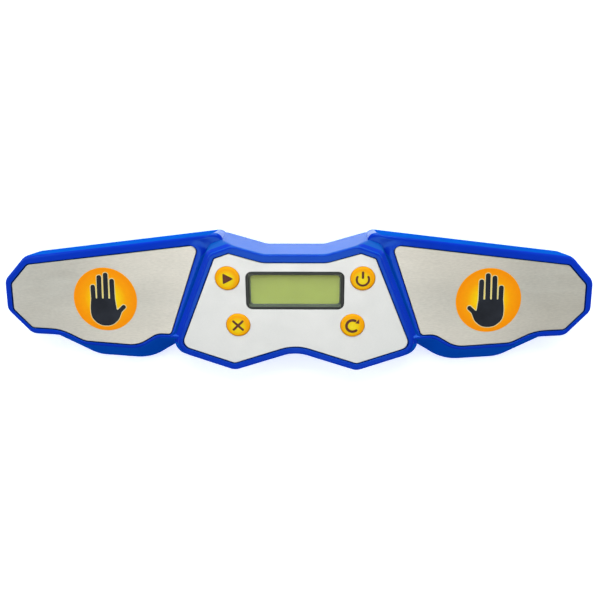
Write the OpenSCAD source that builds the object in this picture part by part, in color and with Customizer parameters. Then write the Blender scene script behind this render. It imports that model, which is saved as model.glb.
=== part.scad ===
// Speed cube timer: a tilted display console between two level touch wings.
// Lies flat on its feet: +X right, +Y away from the user, +Z up, millimetres.

/* [Console face] */
// Height of the console face above the table, at the middle of the four buttons
face_h = 22.7; // [22.2:0.1:25]
// Tilt of the console face towards the user, degrees
face_tilt = 6.5; // [5:0.5:8]
// Front notch of the face plate, on the centre line
face_notch_y = -22.5; // [-24:0.1:-21]
// Front nose of the face plate
face_nose = [30.9, -32.8]; // [-60:0.1:60]
// Front outer corner of the face plate
face_hip = [57.2, -23.4]; // [-60:0.1:60]
// Rear outer corner of the face plate
face_shoulder = [38.6, 21.7]; // [-60:0.1:60]
// Rearmost corner of the face plate
face_peak = [31.6, 24.2]; // [-60:0.1:60]
// Bend where the straight rear edge begins
face_brow = [15.6, 19.6]; // [-60:0.1:60]
// Thickness of the face plate
face_plate_t = 0.5; // [0.4:0.1:0.6]
// Width of the rim behind the face plate
rim_rear = 4.5; // [3.8:0.1:5]
// Width of the rim beside the face plate
rim_side = 3.1; // [2.8:0.1:3.4]
// Width of the rim in front of the face plate
rim_front = 4.0; // [3.4:0.1:4.4]

/* [Touch wings] */
// Height of the wing faces, carried inwards to the centre line
wing_h = 21.5; // [20.8:0.1:22]
// Outward fall of each wing face, degrees
wing_roll = 1.8; // [1:0.1:2.2]
// Inner rear corner of the touch plate
plate_root = [47.0, 27.6]; // [-40:0.1:150]
// Inner front corner of the touch plate
plate_elbow = [62.8, -17.3]; // [-40:0.1:150]
// Front edge: start of the palm bulge
plate_tuck = [69.6, -17.0]; // [-40:0.1:150]
// Front edge: inner end of the palm bulge
plate_palm = [80.0, -23.3]; // [-40:0.1:150]
// Front edge: outer end of the palm bulge
plate_sweep = [107.3, -21.4]; // [-40:0.1:150]
// Front edge: end of the sweep towards the tip
plate_waist = [119.2, -15.4]; // [-40:0.1:150]
// Tip: front corner
plate_tip_front = [133.7, -14.7]; // [-40:0.1:150]
// Tip: end corner, front
plate_tip_low = [142.6, -5.2]; // [-40:0.1:150]
// Tip: end corner, rear
plate_tip_high = [142.3, 7.8]; // [-40:0.1:150]
// Tip: rear corner
plate_tip_rear = [133.3, 17.4]; // [-40:0.1:150]
// Thickness of the touch plates
touch_plate_t = 0.8; // [0.5:0.1:1]
// Width of the rim behind the touch plates
wing_rim_rear = 4.9; // [4:0.1:5.2]
// Width of the rim in front of the touch plates
wing_rim = 2.8; // [2.4:0.1:3.2]
// Width of the rim round the tips
tip_rim = 3.4; // [3:0.1:4]
// Radius of the rounded shoulder behind the touch plates
shoulder_r = 2.0; // [1:0.1:2.2]
// Outward reach of the sloped front wall below the palm bulge
palm_slope = 11.0; // [9:0.1:12]

/* [Housing] */
// Height of the underside above the table, which is what shows of the feet
belly_h = 1.2; // [0.8:0.1:1.5]
// Height of the parting line between the two housings
split_h = 4.6; // [4.2:0.1:4.8]
// Wall thickness of both housings
wall = 2.2; // [1.8:0.1:2.4]
// Thickness of the decks below the plates
deck_t = 1.5; // [1.2:0.1:1.6]
// Thickness of the floor
floor_t = 2.0; // [1.6:0.1:2.2]
// How far the plates lie below the rims
plate_sink = 0.4; // [0.3:0.1:0.6]
// Gap round the plates, the bezel and the battery door
gap = 0.2; // [0.1:0.05:0.3]
// Reach of the rear wall at its foot beyond its top edge
rear_draft = 2.3; // [1:0.1:2.5]
// Depth of the valley between the console and a wing
valley_depth = 1.3; // [0.8:0.1:1.8]

/* [Buttons] */
// Diameter of a button cap
button_d = 12.0; // [10:0.5:12.5]
// Height of a button cap above the face plate
button_rise = 1.0; // [0.6:0.1:1.4]
// Travel of a button
button_travel = 0.4; // [0.3:0.05:0.5]
// Clearance between a cap and its hole, on the radius
button_clear = 0.3; // [0.2:0.05:0.4]
// Centre of the upper right button; its pair is mirrored
button_upper = [32.7, 12.1]; // [-20:0.1:40]
// Centre of the lower right button; its pair is mirrored
button_lower = [28.3, -12.1]; // [-20:0.1:40]

/* [Display] */
// Outer width of the display bezel
bezel_w = 47.6; // [44:0.2:48]
// Outer height of the display bezel
bezel_h = 19.0; // [17:0.2:19.4]
// Width of the bezel's dark frame
bezel_band = 1.6; // [1.2:0.1:2]
// Distance of the display's centre behind the button centre line
display_y = 5.8; // [5:0.1:6.4]
// Width of the liquid crystal glass
glass_w = 49.0; // [48:0.2:49.4]
// Height of the liquid crystal glass
glass_h = 20.4; // [19.6:0.2:20.6]
// Thickness of the liquid crystal glass
glass_t = 2.0; // [1.6:0.1:2.2]

/* [Circuit board] */
// Width of the circuit board
board_w = 77.0; // [76:0.5:78]
// Front to back size of the circuit board
board_l = 36.0; // [35:0.5:37]
// Thickness of the circuit board
board_t = 1.2; // [1:0.1:1.2]
// Distance of the board's top face below the console rim
board_drop = 5.8; // [5.6:0.1:5.9]

/* [Batteries] */
// Diameter of a cell
cell_d = 10.5; // [10:0.1:10.5]
// Length of a cell, with its terminal
cell_l = 44.5; // [44:0.1:44.5]
// Room for the contacts at each end of the bay
contact_room = 3.2; // [3:0.1:3.6]
// Thickness of the battery door
door_t = 1.5; // [1.3:0.1:1.6]

/* [Fasteners and feet] */
// Diameter of a foot
foot_d = 11.0; // [9:0.5:12]
// Depth of a foot's seat in the underside
foot_seat = 0.8; // [0.5:0.1:1]
// Shank diameter of the housing screws
screw_d = 2.4; // [2:0.1:2.6]
// Shank diameter of the board screws
board_screw_d = 1.8; // [1.6:0.1:2]

/* [Hidden] */

blue = [0.02, 0.22, 0.78];
silver = [0.82, 0.82, 0.8];
dark = [0.16, 0.17, 0.18];
amber = [1.0, 0.68, 0.05];
steel = [0.72, 0.73, 0.75];

$fn = 48;
corner_steps = 5;
crisp_r = 1.2;
tip_r = 2.6;
elbow_r = 2.0;
tuck_r = 9.0;
palm_r = 15.0;
sweep_r = 10.0;
waist_r = 25.0;
hip_r = 4.0;
edge_r = 1.0;
belly_r = 1.4;
wing_shoulder_r = 4.0;
eps = 0.02;

// ---- Outlines -------------------------------------------------------------

// Neighbours of entry i in a closed list
function before(P, i) = P[(i + len(P) - 1) % len(P)];
function after(P, i) = P[(i + 1) % len(P)];
// Outward unit normal of the edge from a to b of an anticlockwise outline
function outward(a, b) = [b.y - a.y, a.x - b.x] / norm(b - a);
// Where two lines meet, each given by its unit normal and its distance from the origin
function crossing(n, s, m, t) = [s * m.y - t * n.y, t * n.x - s * m.x] / (n.x * m.y - n.y * m.x);
// Outline whose edges are moved outwards, each by its own distance
function grow(P, d) = [for (i = [0:len(P) - 1])
    let(n = outward(before(P, i), P[i]), m = outward(P[i], after(P, i)))
    crossing(n, n * P[i] + before(d, i), m, m * P[i] + d[i])];
function grow_all(P, d) = grow(P, [for (p = P) d]);
function turned(v, a) = [v.x * cos(a) - v.y * sin(a), v.x * sin(a) + v.y * cos(a)];
// Outline with an arc of radius R[i] at corner i, each arc made of the same number of steps
function rounded(P, R, steps = corner_steps) = [for (i = [0:len(P) - 1])
    let(a = before(P, i) - P[i], c = after(P, i) - P[i], u = a / norm(a), v = c / norm(c),
        half = acos(u * v) / 2, t = min(R[i] / tan(half), 0.45 * norm(a), 0.45 * norm(c)),
        centre = P[i] + (u + v) / norm(u + v) * t / cos(half),
        sweep = sign(cross(-a, c)) * (180 - 2 * half))
    for (k = [0:steps]) centre + turned(P[i] + u * t - centre, sweep * k / steps)];
// Radii that go with an outline grown by d: wider outside, tighter inside
function grown_radii(P, R, d) = [for (i = [0:len(P) - 1])
    let(turn = cross(P[i] - before(P, i), after(P, i) - P[i]))
    max(R[i] + sign(turn) * (before(d, i) + d[i]) / 2, 0.3)];
function mirrored_half(H) = concat(H, [for (i = [len(H) - 1:-1:0]) if (H[i].x > 0) [-H[i].x, H[i].y]]);

// Console face, in the plane of the face: front notch first, anticlockwise
face_corners = mirrored_half([[0, face_notch_y], face_nose, face_hip, face_shoulder, face_peak,
    face_brow]);
face_radii = [23, 3, hip_r, crisp_r, crisp_r, 15, 15, crisp_r, crisp_r, hip_r, 3];
console_rims = [rim_front, rim_front, rim_side, rim_side, rim_rear, rim_rear, rim_rear, rim_side,
    rim_side, rim_front, rim_front];
// Touch plate of the right wing, in the plane of the wing: inner rear corner first, anticlockwise
plate_corners = [plate_root, plate_elbow, plate_tuck, plate_palm, plate_sweep, plate_waist,
    plate_tip_front, plate_tip_low, plate_tip_high, plate_tip_rear];
plate_radii = [tip_r, elbow_r, tuck_r, palm_r, sweep_r, waist_r, tip_r, tip_r, tip_r, tip_r];
wing_reach = 11;
wing_rims = [wing_reach, wing_rim, wing_rim, wing_rim, wing_rim, tip_rim, tip_rim - 0.8, tip_rim,
    tip_rim + 0.4, wing_rim_rear];
// Roundness of the wing's top edge, edge by edge
palm_roll = 2.2;
wing_rolls = [0, palm_roll, palm_roll, palm_roll, palm_roll, 1.6, 1.0, 1.0, 1.0, shoulder_r];
// Reach of the wing's foot beyond the touch plate, edge by edge
wing_feet = [wing_reach, palm_slope - 2, palm_slope, palm_slope, palm_slope - 2,
    tip_rim + 2.6, tip_rim - 0.4, tip_rim, tip_rim + 0.4, wing_rim_rear];
// Reach of the console's foot beyond its rim, edge by edge: the shoulders run out under the wings
flank_reach = 2.4;
shoulder_reach = 6;
console_feet = [1.4, 1.4, flank_reach, shoulder_reach, rear_draft, rear_draft, rear_draft, shoulder_reach,
    flank_reach, 1.4, 1.4];
// Where the flanks' and shoulders' slopes meet the wings: share of the height from the foot to the rim
waist = 0.72;
function waist_reach(foot) = foot == flank_reach ? foot : foot == shoulder_reach ? 4 : foot * (1 - waist);
console_waists = [for (foot = console_feet) waist_reach(foot)];

face_rim = grow(face_corners, console_rims);
face_rim_radii = grown_radii(face_corners, face_radii, console_rims);
function flattened(P) = [for (p = P) [p.x, p.y * cos(face_tilt)]];
console_foot = grow(flattened(face_rim), console_feet);
console_waist = grow(flattened(face_rim), console_waists);
wing_outer = grow(plate_corners, wing_rims);
wing_foot = grow(plate_corners, wing_feet);
// The corner that runs in behind the console is rounded by itself
function wing_radii(reaches) = let(R = grown_radii(plate_corners, plate_radii, reaches))
    [for (i = [0:len(R) - 1]) i == 0 ? wing_shoulder_r : R[i]];
wing_outer_radii = wing_radii(wing_rims);
wing_foot_radii = wing_radii(wing_feet);

// The two ends of the whole outline, so that the part is centred front to back
foot_ys = [for (p = concat(rounded(console_foot, face_rim_radii), rounded(wing_foot, wing_foot_radii))) p.y];
centre_y = -(max(foot_ys) + min(foot_ys)) / 2;

// ---- Frames ---------------------------------------------------------------

// Points on, or w above, the console face and the right wing's face
function face_point(p, w = 0) = [p.x, p.y * cos(face_tilt) - w * sin(face_tilt),
    face_h + p.y * sin(face_tilt) + w * cos(face_tilt)];
function wing_point(p, w = 0) = [p.x * cos(wing_roll) + w * sin(wing_roll), p.y,
    wing_h - p.x * sin(wing_roll) + w * cos(wing_roll)];
function level(P, z) = [for (p = P) [p.x, p.y, z]];

// ---- Fits and places ------------------------------------------------------

function mirror_x(p) = [-p.x, p.y];
face_deck_drop = plate_sink + face_plate_t;
wing_deck_drop = plate_sink + touch_plate_t;
floor_h = belly_h + floor_t;
wing_deck_insets = [0, -1, -1, -1, -1, -0.6, -0.4, -0.4, -0.4, -0.6];
wing_belly_insets = [0, -belly_r, -belly_r, -belly_r, -belly_r, -belly_r, -belly_r, -belly_r, -belly_r, -belly_r];
ridge_rear = 4.6;
ridge_front = 1.6;
valley_end = 1;

button_places = [mirror_x(button_upper), button_upper, mirror_x(button_lower), button_lower];
cap_top = button_rise - plate_sink;
cap_round = 1.0;
cap_crown = 0.25;
flange_drop = face_deck_drop + deck_t + 0.15;
flange_t = 0.6;
flange_reach = 0.9;
stem_r = 1.5;
plunger_top = flange_drop + flange_t + 0.25;
plunger_r = 1.75;
switch_w = 6.0;
switch_h = board_drop - plunger_top - button_travel - 0.2;

bezel_r = 3.2;
bezel_lip = 1.0;
bezel_lip_t = 0.7;
bezel_foot = face_deck_drop + deck_t;
window_t = 0.5;
window_drop = bezel_foot - 0.4;
glass_drop = bezel_foot + 0.1;

board_y = 0.5;
board_boss_r = 2.6;
board_screw_places = [[-35.4, -1], [35.4, -1], [-12, -13.2], [12, -13.2]];
chip_y = -12.6;

bay_y = 6.9;
bay_wall = 2.0;
ceiling_t = 1.0;
cell_pitch = cell_d + 0.3;
bay_hw = cell_l / 2 + contact_room;
bay_hl = cell_d + 0.4;
cell_h = belly_h + door_t + 0.3 + cell_d / 2;
bay_top = cell_h + cell_d / 2 + 0.2;
blade_t = 0.4;
cell_end = bay_hw - blade_t - 0.45;
leaf_rise = 2 * bay_hw - blade_t - 0.45 - cell_l - blade_t - 0.1;
door_hw = bay_hw + 1.2 - gap;
door_hl = bay_hl + 1.2 - gap;
door_front = bay_y - door_hl;
door_rear = bay_y + door_hl;
hinge_y = door_front + door_t / 2;
hook_places = [-14, 14];
hook_w = 6;
hook_top = floor_h + 1.3;
latch_w = 10;
latch_h = 3.6;
contact_w = 4;
function board_under(y) = face_h + y * tan(face_tilt) - (board_drop + board_t) / cos(face_tilt);
function tab_top(y) = board_under(y) + board_t - 0.1;
contact_tabs = [[-bay_hw + blade_t / 2, bay_y - cell_pitch / 2], [-bay_hw + blade_t / 2, bay_y + cell_pitch / 2]];

boss_r = 3.2;
pad_r = 4.2;
pad_top = split_h + 0.8;
screw_head_r = 2.5;
screw_seat = belly_h + 2.2;
screw_top = pad_top + 6.5;
// Housing screws of the right side: place and the height at which their bosses enter the deck
function wing_boss(x, y) = [x, y, wing_h - x * tan(wing_roll) - wing_deck_drop - deck_t / 2];
function face_boss(x, y) = [x, y, face_h + y * tan(face_tilt) - face_deck_drop - deck_t / 2];
screw_places = [wing_boss(127, 1), wing_boss(63, 15), face_boss(45, -19)];

stud_place = [67, 7];
stud_r = 1.5;
stud_seat = wing_deck_drop + deck_t;
stud_l = stud_seat + 4;
nut_t = 2.0;
terminal_t = 0.6;
terminal_l = 5;
lead_end = board_under(6) - 0.5;
lead_route = [wing_point(stud_place - [terminal_l - 0.8, 0], -stud_seat - terminal_t - 0.35), [61, 7, 15.4], [56, 7, 14.6], [50, 6.6, 14.2],
    [44, 6.2, 14.6], [40, 6, 15.4], [37.5, 6, lead_end]];

foot_front = [90, -22];
foot_rear = [116, 11];
foot_middle = [20, -19.5];
foot_places = [foot_front, mirror_x(foot_front), foot_rear, mirror_x(foot_rear), foot_middle, mirror_x(foot_middle)];

module on_table() {
    translate([0, centre_y, 0]) children();
}
module on_face() {
    translate([0, 0, face_h]) rotate([face_tilt, 0, 0]) children();
}
module on_wing() {
    translate([0, 0, wing_h]) rotate([0, wing_roll, 0]) children();
}
module both_sides() {
    children();
    mirror([1, 0, 0]) children();
}
module to_side(side) {
    mirror([side < 0 ? 1 : 0, 0, 0]) children();
}
function middle(P) = [for (p = P) 1] * P / len(P);
// Closed solid through rings of the same length, lowest ring first; each end fans out from its middle
module loft(rings) {
    n = len(rings[0]);
    top = (len(rings) - 1) * n;
    hub = top + n;
    sides = [for (k = [0:len(rings) - 2], i = [0:n - 1]) let(j = (i + 1) % n, a = k * n, b = a + n)
        each [[a + i, b + i, b + j], [a + i, b + j, a + j]]];
    ends = [for (i = [0:n - 1]) let(j = (i + 1) % n) each [[hub, i, j], [hub + 1, top + j, top + i]]];
    polyhedron(points = concat([for (ring = rings) each ring], [middle(rings[0]), middle(rings[len(rings) - 1])]),
        faces = concat(ends, sides));
}
// Flat plate of the given outline whose top face is drop below the frame
module slab(outline, drop, t) {
    translate([0, 0, -drop - t]) linear_extrude(t) polygon(outline);
}
function box_outline(w, h, r) = rounded([[-w / 2, -h / 2], [w / 2, -h / 2], [w / 2, h / 2], [-w / 2, h / 2]],
    [r, r, r, r]);
// Cylinder whose top is drop below the frame
module rod(r, drop, t) {
    translate([0, 0, -drop - t]) cylinder(r = r, h = t);
}
// Box given by its lowest corner and its size
module block(low, size) {
    translate(low) cube(size);
}

// ---- Housing forms --------------------------------------------------------

// Ring at share f of the way round a rounded top edge: 0 on the top, 1 on the outer wall
function edge_ring(corners, radii, rolls, f) = rounded(
    grow(corners, [for (r = rolls) -r * (1 - sin(90 * f))]), radii);
function wing_edge(f) = let(ring = edge_ring(wing_outer, wing_outer_radii, wing_rolls, f))
    [for (i = [0:len(ring) - 1]) let(corner = floor(i / (corner_steps + 1)))
        wing_point(ring[i], -max(wing_rolls[corner], before(wing_rolls, corner)) * (1 - cos(90 * f)))];
function console_edge(f) = [for (p = edge_ring(face_rim, face_rim_radii, [for (p = face_rim) edge_r], f))
    face_point(p, -edge_r * (1 - cos(90 * f)))];

module wing_form() {
    loft(concat([level(rounded(wing_foot, wing_foot_radii), split_h)],
        [for (f = [1, 0.66, 0.33, 0]) wing_edge(f)]));
}
module console_form() {
    waist_ring = [for (p = rounded(console_waist, face_rim_radii))
        [p.x, p.y, split_h + (face_h + p.y * tan(face_tilt) - split_h) * waist]];
    loft(concat([level(rounded(console_foot, face_rim_radii), split_h), waist_ring],
        [for (f = [1, 0.5, 0]) console_edge(f)]));
}
// Valley that parts the wing's inner rim from the console's wall
module wing_valley() {
    towards = outward(plate_root, plate_elbow);
    rear = plate_root + towards * ridge_rear;
    front = plate_elbow + towards * ridge_front;
    along = (front - rear) / norm(front - rear);
    a = rear - along * valley_end;
    b = front + along * 8;
    low = [a + towards * 0.9, a + towards * 12, b + towards * 12, b + towards * 0.9];
    high = [a - towards * 0.5, a + towards * 12, b + towards * 12, b - towards * 0.5];
    loft([[for (p = low) wing_point(p, -valley_depth)], [for (p = high) wing_point(p, 0.8)]]);
}
// Underside of the housing: the same feet, drawn in round the bottom edge
module belly(foot, radii, insets) {
    loft([for (f = [0, 0.5, 1, 2]) let(g = min(f, 1))
        level(rounded(grow(foot, insets * (1 - sin(90 * g))), radii),
            f > 1 ? split_h : belly_h + belly_r * (1 - cos(90 * g)))]);
}
// Hollows: the wing's runs on into the console's
wing_cavity_low = grow_all(wing_foot, -wall);
wing_cavity_high = grow(grow_all(wing_outer, -wall), wing_deck_insets);
console_cavity_low = grow_all(console_foot, -wall);
console_cavity_high = grow_all(face_rim, -wall - 0.4);
module wing_cavity() {
    radii = [for (p = wing_foot) 1.5];
    loft([level(rounded(wing_cavity_low, radii, 2), split_h - 1),
        level(rounded(wing_cavity_low, radii, 2), split_h + 0.5),
        [for (p = rounded(wing_cavity_high, radii, 2)) wing_point(p, -wing_deck_drop - deck_t)]]);
}
module console_cavity() {
    radii = [for (p = face_rim) 1.5];
    loft([level(rounded(console_cavity_low, radii, 2), split_h - 1),
        level(rounded(console_cavity_low, radii, 2), split_h + 0.5),
        [for (p = rounded(console_cavity_high, radii, 2)) face_point(p, -face_deck_drop - deck_t)]]);
}
module floor_cavity(outline) {
    radii = [for (p = outline) 1.5];
    loft([level(rounded(outline, radii, 2), floor_h), level(rounded(outline, radii, 2), split_h + 1)]);
}

// ---- Housings -------------------------------------------------------------

module screw_boss(x, y, top) {
    translate([x, y, pad_top]) cylinder(r = boss_r, h = top - pad_top);
}
module upper_housing() color(blue) on_table() difference() {
    union() {
        difference() {
            union() {
                both_sides() difference() {
                    wing_form();
                    wing_valley();
                }
                console_form();
            }
            both_sides() wing_cavity();
            console_cavity();
        }
        both_sides() for (s = screw_places) screw_boss(s.x, s.y, s.z);
        on_face() for (p = board_screw_places) translate(p) rod(board_boss_r, face_deck_drop + deck_t / 2,
            board_drop - face_deck_drop - deck_t / 2);
    }
    both_sides() on_wing() slab(rounded(grow_all(plate_corners, gap), plate_radii), -2, 2 + wing_deck_drop);
    both_sides() on_wing() translate(stud_place) rod(stud_r + 0.5, 0, 8);
    on_face() slab(rounded(grow_all(face_corners, gap), face_radii), -2, 2 + face_deck_drop);
    on_face() translate([0, display_y]) {
        slab(box_outline(bezel_w + 2 * gap, bezel_h + 2 * gap, bezel_r), 0, face_deck_drop + deck_t + 1);
        slab(box_outline(bezel_w + 2 * (bezel_lip + gap), bezel_h + 2 * (bezel_lip + gap), bezel_r), 0,
            face_deck_drop + bezel_lip_t);
    }
    on_face() for (p = button_places) translate(p) rod(button_d / 2 + button_clear, 0, face_deck_drop + deck_t + 1);
    both_sides() for (s = screw_places) translate([s.x, s.y, pad_top - eps])
        cylinder(r = screw_d / 2 + 0.05, h = screw_top - pad_top + 0.5);
    on_face() for (p = board_screw_places) translate(p) rod(board_screw_d / 2 + 0.05, face_deck_drop + 0.9,
        board_drop - face_deck_drop);
}

module lower_housing() color(blue) on_table() difference() {
    union() {
        difference() {
            union() {
                both_sides() belly(wing_foot, wing_foot_radii, wing_belly_insets);
                belly(console_foot, face_rim_radii, [for (p = console_foot) -belly_r]);
            }
            both_sides() floor_cavity(wing_cavity_low);
            floor_cavity(console_cavity_low);
        }
        both_sides() for (s = screw_places) translate([s.x, s.y, belly_h]) cylinder(r = pad_r, h = pad_top - belly_h);
        block([-bay_hw - bay_wall, bay_y - bay_hl - bay_wall, belly_h],
            [2 * (bay_hw + bay_wall), 2 * (bay_hl + bay_wall), bay_top + ceiling_t - belly_h]);
    }
    both_sides() for (s = screw_places) translate([s.x, s.y, 0]) {
        cylinder(r = screw_d / 2 + 0.3, h = pad_top + 1);
        cylinder(r = screw_head_r + 0.3, h = screw_seat);
    }
    for (p = foot_places) translate([p.x, p.y, belly_h - 1]) cylinder(r = foot_d / 2, h = 1 + foot_seat);
    block([-bay_hw, bay_y - bay_hl, 0], [2 * bay_hw, 2 * bay_hl, bay_top]);
    block([-door_hw - gap, door_front - gap, 0], [2 * (door_hw + gap), 2 * door_hl + 2 * gap, belly_h + door_t + 0.1]);
    for (x = hook_places) {
        block([x - hook_w / 2 - 0.4, door_front - gap, belly_h], [hook_w + 0.8, bay_wall, 5.4]);
        block([x - hook_w / 2 - 0.4, door_front - 2.2, floor_h], [hook_w + 0.8, bay_wall + 2.2, 3.4]);
    }
    block([-latch_w / 2 - 0.6, door_rear - bay_wall, belly_h], [latch_w + 1.2, bay_wall + 0.9, 5.4]);
    translate([0, door_rear + 2.5, 0]) cylinder(r = 6, h = belly_h + 0.9);
    for (c = contact_tabs) block([c.x - 0.5, c.y - 1.2, bay_top - 1], [1, 2.4, 4]);
}

// ---- Plates and display ---------------------------------------------------

module face_plate() color(silver) on_table() on_face() difference() {
    slab(rounded(face_corners, face_radii), plate_sink, face_plate_t);
    translate([0, display_y]) slab(box_outline(bezel_w + 2 * gap, bezel_h + 2 * gap, bezel_r), 0, 3);
    for (p = button_places) translate(p) rod(button_d / 2 + button_clear, 0, 3);
}
module touch_plate(side) color(silver) on_table() to_side(side) on_wing() {
    slab(rounded(plate_corners, plate_radii), plate_sink, touch_plate_t);
    translate(stud_place) rod(stud_r, plate_sink + touch_plate_t / 2, stud_l);
}
module left_touch_plate() touch_plate(-1);
module right_touch_plate() touch_plate(1);

module display_bezel() color(dark) on_table() on_face() translate([0, display_y]) difference() {
    union() {
        slab(box_outline(bezel_w, bezel_h, bezel_r), plate_sink, bezel_foot - plate_sink);
        slab(box_outline(bezel_w + 2 * bezel_lip, bezel_h + 2 * bezel_lip, bezel_r), face_deck_drop, bezel_lip_t);
    }
    slab(box_outline(bezel_w - 2 * bezel_band, bezel_h - 2 * bezel_band, bezel_r - 1), 0, window_drop);
    slab(box_outline(bezel_w - 2 * bezel_band - 1, bezel_h - 2 * bezel_band - 1, bezel_r - 1.4), 0, 5);
}
module display_window() color([0.8, 0.85, 0.85, 0.3]) on_table() on_face() translate([0, display_y])
    slab(box_outline(bezel_w - 2 * bezel_band - 0.2, bezel_h - 2 * bezel_band - 0.2, bezel_r - 1.1),
        window_drop - window_t, window_t);
module display_glass() color([0.62, 0.68, 0.36]) on_table() on_face() translate([0, display_y])
    slab(box_outline(glass_w, glass_h, 0.4), glass_drop, glass_t);
module display_holder() color("white") on_table() on_face() translate([0, display_y]) difference() {
    slab(box_outline(glass_w + 1.8, glass_h + 1.8, 0.8), glass_drop, board_drop - glass_drop);
    slab(box_outline(glass_w + 0.2, glass_h + 0.2, 0.4), 0, board_drop + 1);
}
module zebra_strip(side) color([0.9, 0.5, 0.55]) on_table() on_face()
    translate([0, display_y + side * (glass_h / 2 - 1.6)])
        slab(box_outline(glass_w - 4, 2.2, 0.3), glass_drop + glass_t, board_drop - glass_drop - glass_t);
module front_zebra_strip() zebra_strip(-1);
module rear_zebra_strip() zebra_strip(1);

// ---- Buttons and switches -------------------------------------------------

// Revolved cap: a crowned top with a rounded edge, a retaining flange and a stem on the switch
module button(p) color(amber) on_table() on_face() translate(p) rotate_extrude() polygon(concat(
    [[0, -plunger_top], [stem_r, -plunger_top], [stem_r, -flange_drop - flange_t],
        [button_d / 2 + flange_reach, -flange_drop - flange_t], [button_d / 2 + flange_reach, -flange_drop],
        [button_d / 2, -flange_drop]],
    [for (a = [0:15:75]) [button_d / 2 - cap_round + cap_round * cos(a), cap_top - cap_crown - cap_round * (1 - sin(a))]],
    [for (k = [4:-1:0]) let(r = (button_d / 2 - cap_round) * k / 4)
        [r, cap_top - cap_crown * pow(k / 4, 2)]]));
module play_button() button(mirror_x(button_upper));
module power_button() button(button_upper);
module cancel_button() button(mirror_x(button_lower));
module reset_button() button(button_lower);

module switch(p) color("dimgray") on_table() on_face() translate(p) difference() {
    slab(box_outline(switch_w, switch_w, 0.5), board_drop - switch_h, switch_h);
    rod(plunger_r + 0.1, 0, board_drop - 0.3);
}
module play_switch() switch(mirror_x(button_upper));
module power_switch() switch(button_upper);
module cancel_switch() switch(mirror_x(button_lower));
module reset_switch() switch(button_lower);

module plunger(p) color("black") on_table() on_face() translate(p)
    rod(plunger_r, plunger_top, board_drop - 0.4 - button_travel - plunger_top);
module play_plunger() plunger(mirror_x(button_upper));
module power_plunger() plunger(button_upper);
module cancel_plunger() plunger(mirror_x(button_lower));
module reset_plunger() plunger(button_lower);

// ---- Circuit board --------------------------------------------------------

module main_board() color("darkgreen") on_table() difference() {
    on_face() difference() {
        translate([0, board_y]) slab(box_outline(board_w, board_l, 2), board_drop, board_t);
        for (p = board_screw_places) translate(p) rod(board_screw_d / 2 + 0.2, board_drop - 1, board_t + 2);
    }
    for (c = contact_tabs) block([c.x - 0.5, c.y - 1.2, bay_top], [1, 2.4, 9]);
}
module controller_chip() color("black") on_table() on_face() translate([0, chip_y])
    slab(box_outline(9, 7, 0.4), board_drop - 1, 1);
module crystal() color(steel) on_table() on_face() translate([-3, chip_y + 5.1, -board_drop + 1])
    rotate([0, 90, 0]) cylinder(r = 1, h = 6);
module board_screws() color(steel) on_table() on_face() for (p = board_screw_places) translate(p) {
    rod(board_screw_d / 2, face_deck_drop + 1.2, board_drop + board_t - face_deck_drop - 1.2);
    rod(board_screw_d, board_drop + board_t, 1.1);
}

// Tube along a route, its rings facing the way the route runs
module tube(route, r, sides) {
    n = len(route);
    loft_rings = [for (i = [0:n - 1])
        let(t = route[min(i + 1, n - 1)] - route[max(i - 1, 0)], d = t / norm(t),
            u = cross(d, [0, 1, 0]) / norm(cross(d, [0, 1, 0])), v = cross(d, u))
        [for (k = [0:sides - 1]) route[i] + r * (u * cos(360 * k / sides) + v * sin(360 * k / sides))]];
    loft(loft_rings);
}
// Insulated lead from the ring terminal on the plate's stud to the underside of the board
module touch_lead(side) color("red") on_table() to_side(side) {
    on_wing() translate(stud_place) difference() {
        union() {
            rod(stud_r * 2, stud_seat, terminal_t);
            translate([-terminal_l, -1, -stud_seat - terminal_t]) cube([terminal_l - stud_r, 2, terminal_t]);
        }
        rod(stud_r + 0.2, 0, stud_seat + 2);
    }
    tube(lead_route, 0.6, 8);
}
module left_touch_lead() touch_lead(-1);
module right_touch_lead() touch_lead(1);
module lead_nut(side) color(steel) on_table() to_side(side) on_wing() translate(stud_place) difference() {
    translate([0, 0, -stud_seat - terminal_t - nut_t]) cylinder(r = 2.9, h = nut_t, $fn = 6);
    rod(stud_r + 0.05, 0, stud_l);
}
module left_lead_nut() lead_nut(-1);
module right_lead_nut() lead_nut(1);

// ---- Batteries ------------------------------------------------------------

// Door with a round front edge that it turns about, two hooks over the floor and a sprung latch at the rear
module battery_door() color(blue) on_table() difference() {
    union() {
        block([-door_hw, hinge_y, belly_h], [2 * door_hw, door_rear - hinge_y, door_t]);
        translate([-door_hw, hinge_y, belly_h + door_t / 2]) rotate([0, 90, 0]) cylinder(d = door_t, h = 2 * door_hw);
        for (x = hook_places) {
            block([x - hook_w / 2, door_front + 0.1, belly_h + door_t / 2], [hook_w, 1, hook_top - belly_h - door_t / 2]);
            block([x - hook_w / 2, door_front - 1.4, hook_top - 1], [hook_w, 2.5, 1]);
        }
        block([-latch_w / 2, door_rear - 1.4, belly_h + door_t / 2], [latch_w, 1, latch_h]);
    }
    for (k = [0:2]) block([-8, door_rear - 4 - 2 * k, belly_h - 1], [16, 0.8, 1.4]);
}
module cell(y, side) color([0.25, 0.3, 0.33]) on_table() translate([0, y, cell_h]) to_side(side)
    rotate([0, 90, 0]) {
        translate([0, 0, cell_end - cell_l]) cylinder(d = cell_d, h = cell_l - 1);
        translate([0, 0, cell_end - 1.5]) cylinder(d = 3.8, h = 1.5);
    }
module front_cell() cell(bay_y - cell_pitch / 2, 1);
module rear_cell() cell(bay_y + cell_pitch / 2, -1);

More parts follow.
